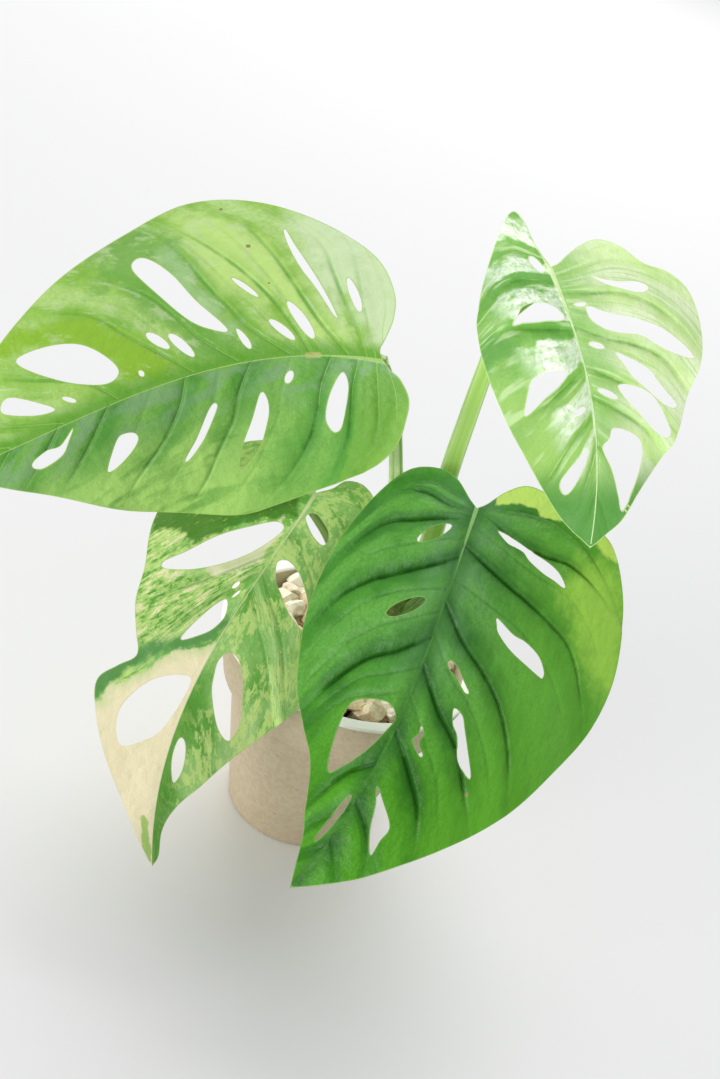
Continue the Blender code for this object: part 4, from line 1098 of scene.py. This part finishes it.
# the upper half is painted yellower and brighter, partly its own colour and partly painted light shining
# through it, and patched with pale and grey-green in soft uneven borders
upper = leaf_ground(tree, (0.28, 0.56, 0.07), (0.42, 0.70, 0.15), (0.58, 0.82, 0.29))
upper = patch(tree, upper, (0.31, 0.58, 0.045), "yellow_patch", 16.0, 3.0)
upper = patch(tree, upper, (0.60, 0.86, 0.25), "light_patch", 14.0, 4.0)
upper = patch(tree, upper, (0.19, 0.46, 0.08), "grey_patch", 24.0, 5.0, 0.8)
upper = patch(tree, upper, (0.40, 0.66, 0.26), "ash_patch", 12.0, 3.0)
# the pale patch on the base lobe is partly the blade's own pale colour and partly a painted sheen of
# reflected light
upper = patch(tree, upper, (0.70, 0.88, 0.50), "pale_patch", 14.0, 4.0)
mottle = cloud(tree, flow, 0.30, 4.0, 0.65, (1.0, 0.5, 1.0))
upper = tint(tree, upper, (0.62, 0.80, 0.42), mottle, 0.54, 0.66, 0.55)
# painted shade in the hollows along the side veins
upper = crease(tree, upper, (0.13, 0.42, 0.03), 1.6, 0.25, 0.45, 0.80)
upper = tint(tree, upper, (0.13, 0.40, 0.03), rib_gap, 8.0, 1.0, 0.85)
tone = tint(tree, tone, upper, read(tree, "side"), -0.1, 0.1)
pale_line = product(tree, fade(tree, read(tree, "vein_gap"), 0.26, 0.10),
                    fade(tree, rib_gap, 30.0, 6.0, 0.0, 0.5))
tone = blend(tree, pale_line, tone, (0.42, 0.64, 0.18))
for along in (21.6, 22.8, 24.0, 25.2):
    tone = spot(tree, tone, (0.60, 0.56, 0.20), along, 0.2, 1.3, 0.7)
for along, offset, reach in ((44.5, 56.4, 0.6), (39.6, 41.0, 0.8), (35.5, 26.6, 0.4)):
    tone = spot(tree, tone, (0.24, 0.15, 0.06), along, offset, reach, 0.8)
leaf_seal(tree, shader, tone, (0.45, 0.68, 0.16), (0.42, 0.66, 0.18), 0.30, 0.5, 0.9)
hang_leaf(leaf_1_blade, face, "leaf_1")


# ---- second leaf ----
# The youngest leaf stands high on the right. It is still soft: thin, pale, glossy and
# puckered between its veins, with wide holes that nearly reach the margin.
leaf_2 = dict(
    base=(19.3, 4, 254.7), heading=(323, 347, 330), dip=(35, 60, 75), length=101, roll=60, fold=12,
    curl=3.0, quilt=(2.6, 1.4), wave=1.6, pucker=0.3,
    right=[(-10, 1.6), (-19.5, 2), (-24, 4.5), (-20, 11), (-11, 21.5), (-1, 29.5), (10, 32.5), (24, 33),
           (43, 31), (58, 27.5), (76, 20.5), (90, 13), (97, 5.5)],
    left=[(-1, 3), (-2.5, 7), (-3.7, 12), (-3.5, 18), (1, 24), (9, 30), (15, 38), (23, 44.5), (34, 48),
          (43, 47.5), (53, 41), (61.5, 36), (67, 31.5), (76, 22.5), (83, 15.2), (91.5, 9.5), (96.5, 4.5)],
    veins_right=[(-3, -13, -14, -8, 0, 10), (4, -2, -3, 2, 10, 20), (21, 17.5, 14, 16, 22, 32),
                 (35, 42, 48.5, 56, 66), (52, 65, 84, 100), (64, 103, 130), (82, 122)],
    faint_right=[(27, 24, 24.5, 28, 36, 46), (11, 7, 5.5, 9, 16), (44, 53, 64, 76)],
    veins_left=[(2.5, 3, 4, 9.5, 18, 29), (8.5, 12.3, 16.2, 23.8, 35, 50), (20.5, 28, 33.5, 41, 54, 68),
                (35, 42, 51, 62, 74), (45, 53, 62, 76, 92), (62, 76, 92), (80, 104, 130)],
    faint_left=[(5.5, 7.5, 10, 16.5, 26, 39), (14, 20, 25, 32, 44, 58), (24, 31, 38.5, 50, 63),
                (53, 63, 76)],
    holes=[(-0.5, 2.5, -7.6, 5.2, 2.5, 0.0),
           [(12.3, 19.1), (9.1, 15.7), (7.6, 14), (7.6, 10.2), (9.4, 6), (12.5, 3.1), (16.4, 1.6),
            (16.9, 3.6), (15.6, 7.1), (14.3, 11.8), (12.9, 15.8)],
           [(34, 6), (32.5, 13), (33.5, 17), (36.5, 19.7), (48, 23), (42, 15), (38, 9)],
           (48.5, 2.5, 50, 7, 2.6, 0.0),
           [(63, 4), (66, 3.4), (72, 5.6), (80.5, 9.7), (80.5, 12), (75, 12)],
           [(7, -11.6), (9.7, -15.7), (11.8, -19.7), (13.8, -25.4), (15.9, -28.6), (17.6, -29.6),
            (18.1, -27.1), (16.5, -23.4), (14.1, -19.6), (11, -15.2)],
           [(13.5, -2.6), (14.7, -4), (15.4, -6.2), (14.4, -6.8), (13.7, -4.6)],
           [(15.9, -6.5), (16.6, -8.4), (19.1, -11.6), (21.4, -15.3), (24.4, -21), (27.9, -26.4),
            (31.4, -31.4), (36.2, -36.4), (40.7, -40.7), (44.2, -43), (42.8, -39), (39.5, -33.2),
            (35.6, -27.9), (31, -22.8), (28.6, -17.4), (26.3, -12.7), (23.3, -9), (19.7, -6.5)],
           (27.3, -3.5, 30.5, -8.5, 1.8, 0.0),
           [(33.2, -11.9), (36.3, -16.3), (39.6, -20.4), (43.4, -24.3), (47.3, -26.7), (51.8, -30),
            (55.5, -33.1), (57.7, -34.3), (56.8, -30.7), (53.9, -26.7), (49.5, -22.5), (46.3, -19.6),
            (42.8, -16.5), (38.3, -14.2)],
           (43, -2.8, 48.2, -9.6, 2.1, 0.0),
           [(44.1, -10.3), (44.9, -14.1), (47.6, -19.4), (50.7, -23.2), (54.7, -26.1), (59.1, -28.3),
            (64, -30.1), (65.8, -28.1), (62.9, -23.6), (58.4, -19.7), (53.4, -16.1), (49.1, -12.6)],
           [(57.8, -6.4), (59.5, -11.4), (63.7, -16.8), (68.6, -18.2), (74.4, -16.8), (80.7, -13.7),
            (87.2, -10.1), (81.7, -8.3), (72.5, -5.7), (66.6, -3.1), (63.2, -2.4), (61, -4.9)]])
leaf_2_blade = leaf_blade(leaf_2, "young_leaf")
face, tree, shader = new_finish("young_leaf_face", 0.20)
flow, rib_gap, station = blade_reads(tree)
tone = leaf_ground(tree, (0.09, 0.34, 0.015), (0.17, 0.46, 0.035), (0.30, 0.59, 0.09))
tone = tint(tree, tone, (0.36, 0.60, 0.11), station, 26.0, 48.0, 0.55)
# the outer half is paler still, partly its own colour and partly painted light shining through the thin skin,
# and ribbed with narrow green channels
outer = leaf_ground(tree, (0.58, 0.84, 0.28), (0.76, 0.93, 0.48), (0.92, 0.99, 0.76))
outer = tint(tree, outer, (0.22, 0.52, 0.07), rib_gap, 18.0, 3.0, 0.8)
channels = cloud(tree, flow, 0.9, 1.0, 0.4, (1.0, 0.05, 1.0))
outer = tint(tree, outer, (0.40, 0.70, 0.17), channels, 0.54, 0.64, 0.5)
on_outer = fade(tree, read(tree, "side"), 0.1, -0.1)
tone = blend(tree, on_outer, tone, outer)
# painted shade in the hollows along the side veins
tone = crease(tree, tone, (0.12, 0.40, 0.03), 1.8, 0.25, 0.25, 0.45)
ridges = cloud(tree, flow, 0.5, 2.0, 0.5, (1.0, 0.12, 1.0))
tone = tint(tree, tone, (0.66, 0.86, 0.44), ridges, 0.52, 0.66, 0.55)
tone = tint(tree, tone, (0.055, 0.28, 0.01), station, 66.0, 86.0, 0.95)
# pale painted reflections of a window lie on the pillows beside the midrib, and the skin is wet and smooth
# there
streaks = cloud(tree, flow, 0.22, 4.0, 0.6, (1.0, 0.5, 1.0))
swell = maths(tree, "MULTIPLY_ADD", streaks, 2.2, pillow_share(tree))
reach = maths(tree, "MULTIPLY_ADD", station, 0.18, rib_gap)
painted_glints = product(tree, fade(tree, swell, 1.55, 1.95), fade(tree, reach, 28.0, 16.0),
                fade(tree, read(tree, "vein_gap"), 1.0, 3.0), fade(tree, station, 80.0, 62.0),
                fade(tree, on_outer, 0.6, 0.4))
wrinkles = fade(tree, cloud(tree, flow, 0.8, 4.0, 0.7, (1.0, 0.6, 1.0)), 0.36, 0.58, 0.35, 0.90)
# painted reflection: the glint patches are painted a pale grey-green
tone = blend(tree, product(tree, painted_glints, wrinkles), tone, (0.70, 0.83, 0.63))
plug_in(tree, shader.inputs["Roughness"], maths(tree, "MULTIPLY_ADD", painted_glints, -0.5, 0.75))
leaf_seal(tree, shader, tone, (0.66, 0.84, 0.36), (0.62, 0.82, 0.38), 0.40, 0.45, 0.8)
hang_leaf(leaf_2_blade, face, "leaf_2")
glossy_pieces.objects.link(leaf_2_blade)


# ---- third leaf ----
# The front leaf is full grown and deep green. Its side veins are sunk deep, so that the
# skin swells between them, and some yellow-green is left on the lobe and along one margin.
leaf_3 = dict(
    base=(25, -15, 169.7), heading=(269, 263.5, 229), dip=(38, 45, 52), length=146, roll=4, fold=12,
    curl=3.0, quilt=(2.6, 2.1), wave=0.8, pucker=0.35,
    right=[(-4, 3.5), (-10.5, 10.5), (-13, 18.5), (-10.5, 28.5), (-1, 36.5), (13, 43), (31, 47.5),
           (50, 49), (67, 46.5), (84, 41.5), (96.5, 33.5), (107, 24.5), (121.5, 16.5), (135.5, 7.5),
           (143.5, 2)],
    left=[(-4, 3), (-11.5, 8.5), (-17, 16), (-17, 28), (-15, 41.5), (-12, 54), (-0.5, 63.5), (15, 70),
          (35.5, 72.5), (55, 68), (73.5, 57.5), (92, 46), (110.5, 30.5), (127, 17), (139, 6.5)],
    veins_right=[(-2, -6, -8, -4, 6, 20), (1.5, 0, -2.8, -1, 10, 26, 44),
                 (3.5, 5.6, 8.6, 11.8, 23, 40, 58), (18.5, 24.6, 30, 35.8, 47, 72, 96),
                 (48.5, 57, 63.8, 78, 100, 125, 150), (95.5, 106.5, 132, 158), (113, 126, 150),
                 (128, 142)],
    faint_right=[(11, 15, 19, 24, 35, 56), (31, 34, 38, 46, 62, 88), (39, 45, 51, 62, 82, 106),
                 (60, 66, 72, 87, 110), (69, 74, 79, 92, 112)],
    veins_left=[(-3, -5, -8, -9, -7, -2, 5, 14), (-0.5, 2.4, 5, 5, 3.5, 5.8, 10, 17),
                (14, 18, 21.5, 24.5, 28, 33, 47, 70), (36, 46.5, 53.3, 61.7, 76, 98, 115, 130),
                (59.5, 71.2, 79, 91, 104, 118), (83.5, 93.6, 104.5, 125), (110.5, 118.5, 135),
                (125, 135, 150)],
    faint_left=[(6, 9, 12, 14, 15, 19, 28, 44), (27, 30, 32.5, 35.5, 41.5, 50, 64, 84),
                (48, 59, 66, 76, 90, 108), (71, 82, 92, 108)],
    holes=[(7.8, 6.7, 16.7, 16.8, 4.6, 0.0), (37, 7.2, 46, 18.8, 5.0, 0.0),
           [(75.7, 7), (79.2, 2.1), (84.6, 3), (94, 6.3), (102.6, 11.3), (107, 15.4), (97.7, 18.8),
            (85, 19.7), (78.8, 17.3)],
           (109.5, 2.8, 129.4, 4.6, 2.6, 0.1),
           [(3.6, -10.7), (3.8, -14), (5.2, -22.5), (6.6, -30.7), (8.7, -36.7), (12.5, -41), (13.4, -40),
            (12.6, -36), (11.9, -30.8), (9.9, -24.6), (7.7, -21.4), (7.3, -18), (7.1, -14.7),
            (4.3, -10.1)],
           [(34.5, -19.0), (34.4, -20.2), (37.3, -26.9), (37.9, -32.5), (40.4, -38.6), (44.3, -42.3),
            (46.6, -42.7), (47.1, -41.6), (45.4, -35), (42.9, -27.5), (39.1, -21.4), (36.3, -19.8)],
           [(55.1, -7.7), (54.2, -8.9), (55.9, -11.9), (58.2, -14.3), (60.4, -16.7), (61.9, -18.4),
            (62.4, -17.1), (60.6, -14.5), (58.5, -11.7), (57.2, -8.9)],
           [(78.5, -7.3), (78.8, -8.2), (81.6, -9.2), (82.8, -8.8), (84.4, -9.4), (86.6, -12),
            (87.5, -11.4), (85.8, -8.7), (83.8, -6.8), (82.2, -7.2), (81.2, -7.8), (79.5, -7.4)],
           [(68.6, -15.3), (69.6, -19), (73.3, -21.5), (78.5, -25), (86, -30), (85.5, -27), (82.5, -23),
            (76.3, -20), (73.3, -17)],
           [(102.5, -3.3), (106.2, -8.4), (111.2, -14), (116.2, -13.7), (121.5, -13.7), (116.5, -9.5),
            (107.7, -6.2)]],
    patches=dict(
        lobe_patch=[(-4.7, -6.2), (-14.6, -4.6), (-24.1, -15.9), (-22.3, -29.3), (-10.3, -31.9),
                    (-9.5, -27.8), (-8.5, -23.9), (-10.3, -20.8), (-9.6, -16), (-8.3, -11.5)],
        side_patch=[(-10.1, -46.5), (-20.6, -50.6), (-14.6, -60), (-7.6, -66), (-6.7, -57.4),
                    (-7.6, -51.4), (-8.7, -47)],
        glow_patch=[(14.3, -39.2), (-1.3, -45.3), (-4, -60), (18, -73), (42, -75), (40, -61),
                    (25.6, -49.8)]))
leaf_3_blade = leaf_blade(leaf_3, "dark_leaf")
face, tree, shader = new_finish("dark_leaf_face", 0.36, 0.25)
flow, rib_gap, station = blade_reads(tree)
tone = leaf_ground(tree, (0.05, 0.23, 0.025), (0.09, 0.34, 0.04), (0.18, 0.50, 0.085))
lower = leaf_ground(tree, (0.035, 0.20, 0.006), (0.060, 0.29, 0.010), (0.110, 0.42, 0.018))
tone = tint(tree, tone, lower, station, 50.0, 105.0)
outer = product(tree, fade(tree, read(tree, "side"), 0.1, -0.1), fade(tree, rib_gap, 12.0, 40.0, 0.0, 0.6))
tone = blend(tree, outer, tone, (0.15, 0.50, 0.03))
# painted sheen: a grey reflection of light beside the midrib, fading toward the tip
sheen = product(tree, fade(tree, cloud(tree, flow, 0.16, 3.0, 0.5), 0.40, 0.60, 0.3, 1.0),
                fade(tree, rib_gap, 20.0, 4.0, 0.0, 0.6), fade(tree, station, 80.0, 40.0))
tone = blend(tree, sheen, tone, (0.13, 0.30, 0.13))
tone = patch(tree, tone, (0.38, 0.74, 0.08), "glow_patch", 18.0, 7.0)
tone = tint(tree, tone, (0.03, 0.14, 0.02), rib_gap, 6.0, 0.6, 0.55)
# painted shade in the hollows along the side veins
tone = crease(tree, tone, (0.014, 0.10, 0.008), 3.6, 0.50, 0.35, 0.80)
tone = patch(tree, tone, (0.58, 0.86, 0.13), "side_patch", 5.0, 1.2)
tone = patch(tree, tone, (0.66, 0.92, 0.19), "lobe_patch", 3.0, 0.5)
tone = spot(tree, tone, (0.30, 0.30, 0.08), 91.0, -31.0, 0.9, 0.8)
rib_tone = tint(tree, (0.28, 0.54, 0.17), (0.05, 0.20, 0.02), station, 2.0, 40.0)
leaf_seal(tree, shader, tone, (0.26, 0.50, 0.10), rib_tone, 0.26, 0.6, 1.3)
hang_leaf(leaf_3_blade, face, "leaf_3")


# ---- fourth leaf ----
# The low leaf is variegated. A whole sector beside the tip is cream, and above it cream and
# green are laid in fine streaks along the veins; the other half is green with yellow flecks.
leaf_4 = dict(
    base=(-31.3, -7, 148.8), heading=(257.5, 259, 308), dip=(35, 45, 55), length=146.7, roll=-10, fold=12,
    curl=3.0, quilt=(0.5, 0.7), wave=1.2, pucker=0.35,
    right=[(-6, 3.5), (-12.5, 10), (-14, 22.5), (-6, 38), (10.5, 48), (24.5, 52), (37.5, 50.5),
           (53, 41.5), (65, 36), (74, 29), (81, 24), (86.5, 28.5), (92.5, 33), (100.5, 29.5),
           (113.5, 20.5), (125.5, 11.5), (137.5, 5)],
    left=[(-6.5, 4.5), (-12, 7.5), (-14.5, 14.5), (-11, 23), (-1, 32.5), (14.5, 40), (35, 45),
          (55.5, 43), (74, 38), (94.5, 29), (114.5, 17.5), (125.5, 9), (134.5, 4), (143.5, 3)],
    veins_right=[(-4, -7, -6, 0, 10, 24, 40), (3, 4, 9, 17, 30, 47, 66), (11, 15, 24, 36, 50, 66, 84),
                 (26, 40, 52, 62, 74, 88), (34, 54, 75.5, 94, 108), (65.5, 74, 86, 97, 110),
                 (104, 118, 134, 150), (122, 138, 155)],
    faint_right=[(7, 9.5, 16, 26, 40, 56), (30, 47, 63, 78, 92), (48, 62, 80, 96, 110)],
    veins_left=[(-4, -8, -8, -2, 8, 20), (2, 1.5, 6, 14, 26, 40), (19, 23, 31, 45, 60),
                (36, 44.3, 53.3, 68, 86), (44, 53.3, 64, 78, 94), (88, 98, 112, 128), (118, 130, 145)],
    faint_left=[(10, 12, 18, 29, 42), (40, 49, 59, 73, 90), (66, 75, 88, 103), (102, 114, 128)],
    holes=[[(17, 3), (16.3, 7), (22, 13.7), (31, 22.7), (42, 30), (49.2, 35.7), (51, 33), (47.2, 24),
            (40.5, 15.4), (32, 8.4), (22.8, 4)],
           [(50.7, 6), (54.3, 3.1), (58.7, 2.9), (64.3, 5.4), (70.3, 12.5), (58, 9.6)],
           (42.7, 5.1, 46, 6.1, 1.5, 0.0), (45.2, 3.0, 49.0, 4.2, 1.0, 0.0),
           [(80.6, 3.4), (83, 1.4), (92.6, 2.3), (101, 4.8), (105.5, 9), (109, 16.3), (102.6, 20.5),
            (96, 20.4), (88, 16), (83, 10)],
           [(66.2, -6), (67.7, -10.7), (73.7, -15.3), (79.7, -18.2), (86.2, -21), (91.6, -21.5),
            (96.5, -20), (93, -14.2), (82.3, -7), (76.2, -4.8), (70.7, -3.7)],
           [(101, -3), (103.5, -2), (110, -2.3), (117.2, -5), (113, -7), (107, -6.6), (102.5, -5)],
           [(29.5, -2.5), (26.7, -5), (27.8, -10.8), (30.6, -15), (34.6, -19.6), (39.2, -22.7),
            (44.2, -24.4), (44, -20.6), (41.7, -15.2), (38.2, -10), (35.3, -5.8)],
           [(5.8, -5), (6.7, -8.3), (8.6, -11.5), (11.5, -13.4), (14.3, -12.5), (13.8, -8.4), (12, -5),
            (9.4, -1.8), (7, -2.3)]],
    patches=dict(
        cream_patch=[(66, 0), (74, 10), (79, 16), (84, 18.5), (88, 22), (90, 24), (92.5, 28), (98, 29),
                     (101, 34), (130, 26), (155, 10), (158, -8), (66, -8)],
        marble_patch=[(56.6, 48.5), (38.8, 52), (32.7, 36.3), (37.5, 28.8), (50.1, 36.5), (47.2, 19.7),
                      (38.4, 9.7), (25.1, 7.2), (11.4, 6), (21.5, 0.8), (35.7, 1.8), (48, 6.6),
                      (58.2, 9.7), (68.3, 12.1), (78.7, 19.8), (78.6, 30.5)],
        dark_patch=[(37, 60), (0.8, 5.8), (10.8, 1.6), (17.2, 10.7), (23.6, 18.1), (34.6, 26.7),
                    (39.5, 30.2), (36.5, 31), (36.5, 39.2), (40.5, 46.8)],
        strip_patch=[(12.1, 5.6), (17.8, 5.8), (28.5, 7.6), (37.8, 13.7), (45.6, 20.9), (43.3, 10.7),
                     (36.2, 5.9), (30.4, 3.6), (20.4, 3.7)],
        band_patch=[(99.5, 31), (96.9, 34.8), (88.1, 33.8), (80.2, 27.3), (73.7, 18.8), (65.4, 9.3),
                    (54.8, 3.3), (57, -0.3), (65.3, 1.3), (71.9, 7.3), (80.1, 18.9), (88, 25.6),
                    (95.1, 28.7)],
        lens_patch=[(128.5, 4.6), (130.9, 1.9), (139.4, 0.6), (147.3, 0.2), (144.3, 2.3), (137.6, 4.1)]))
leaf_4_blade = leaf_blade(leaf_4, "variegated_leaf")
face, tree, shader = new_finish("variegated_leaf_face", 0.40, 0.3)
flat = read(tree, "flat", "Vector")
flow, rib_gap, station = blade_reads(tree)
tone = leaf_ground(tree, (0.15, 0.43, 0.055), (0.29, 0.60, 0.14), (0.46, 0.74, 0.25))
paler = product(tree, fade(tree, rib_gap, 10.0, 26.0),
                fade(tree, cloud(tree, flow, 0.12, 3.0), 0.40, 0.58, 0.0, 0.7))
tone = blend(tree, paler, tone, (0.44, 0.70, 0.26))
# yellow-green flecks lie over both halves, close-set toward the margins
grain = cloud(tree, flow, 0.7, 4.0, 0.7, (1.0, 0.5, 1.0))
flecks = maths(tree, "MULTIPLY_ADD", fade(tree, rib_gap, 8.0, 36.0), 0.08, grain)
flecks = maths(tree, "MULTIPLY_ADD", cloud(tree, flat, 0.06, 2.0), 0.7, flecks)
tone = tint(tree, tone, (0.64, 0.84, 0.26), flecks, 0.865, 0.945, 0.78)
# the upper part of the right half is marbled in cream, yellow-green and dark green
blotch = product(tree, cloud(tree, flow, 0.55, 5.0, 0.75, (1.0, 0.38, 1.0), (7.0, 3.0, 0.0)), 0.65)
blotch = maths(tree, "MULTIPLY_ADD", cloud(tree, flat, 0.22, 5.0, 0.75), 0.35, blotch)
marble = tint(tree, (0.12, 0.36, 0.05), (0.42, 0.68, 0.18), blotch, 0.43, 0.48)
marble = tint(tree, marble, (0.62, 0.76, 0.27), blotch, 0.50, 0.53)
marble = tint(tree, marble, (0.88, 0.83, 0.50), blotch, 0.545, 0.575)
tone = patch(tree, tone, marble, "marble_patch", 20.0, 3.0)
dark = tint(tree, (0.055, 0.20, 0.010), (0.38, 0.50, 0.09), grain, 0.62, 0.68)
tone = patch(tree, tone, dark, "dark_patch", 12.0, 1.5, 0.9)
tone = patch(tree, tone, (0.88, 0.87, 0.54), "strip_patch", 10.0, 1.0)
# painted shade: beside the midrib toward the tip, where the halves fold steeply, the blade is painted deep
# green
rib_fold_shade = product(tree, fade(tree, rib_gap, 9.0, 3.0, 0.0, 0.7), fade(tree, station, 60.0, 95.0))
tone = blend(tree, rib_fold_shade, tone, (0.08, 0.32, 0.02))
# painted shade in the hollows along the side veins
tone = crease(tree, tone, (0.07, 0.27, 0.035), 2.0, 0.15, 0.30, 0.35)
tone = patch(tree, tone, (0.11, 0.32, 0.075), "band_patch", 10.0, 1.8)
# the cream sector has a green-tinged border, which wanders, and a green lens at the tip
drift = maths(tree, "SUBTRACT", cloud(tree, flat, 0.14, 5.0, 0.7), 0.5)
within = maths(tree, "MULTIPLY_ADD", drift, 9.0, read(tree, "cream_patch"))
cream = tint(tree, (0.92, 0.83, 0.54), (0.64, 0.74, 0.36), within, 5.0, 0.0, 0.8)
streaks = cloud(tree, flow, 0.5, 4.0, 0.6, (1.0, 0.2, 1.0))
cream = tint(tree, cream, (0.80, 0.76, 0.42), streaks, 0.5, 0.7, 0.5)
cream = patch(tree, cream, (0.40, 0.60, 0.16), "lens_patch", 3.0, 0.3)
creamy = product(tree, fade(tree, within, -0.9, 0.9), fade(tree, read(tree, "side"), -0.1, 0.1))
tone = blend(tree, creamy, tone, cream)
margin = blend(tree, creamy, (0.46, 0.62, 0.20), (0.86, 0.78, 0.52))
leaf_seal(tree, shader, tone, margin, (0.62, 0.72, 0.36), 0.30, 0.45, 0.15)
hang_leaf(leaf_4_blade, face, "leaf_4")
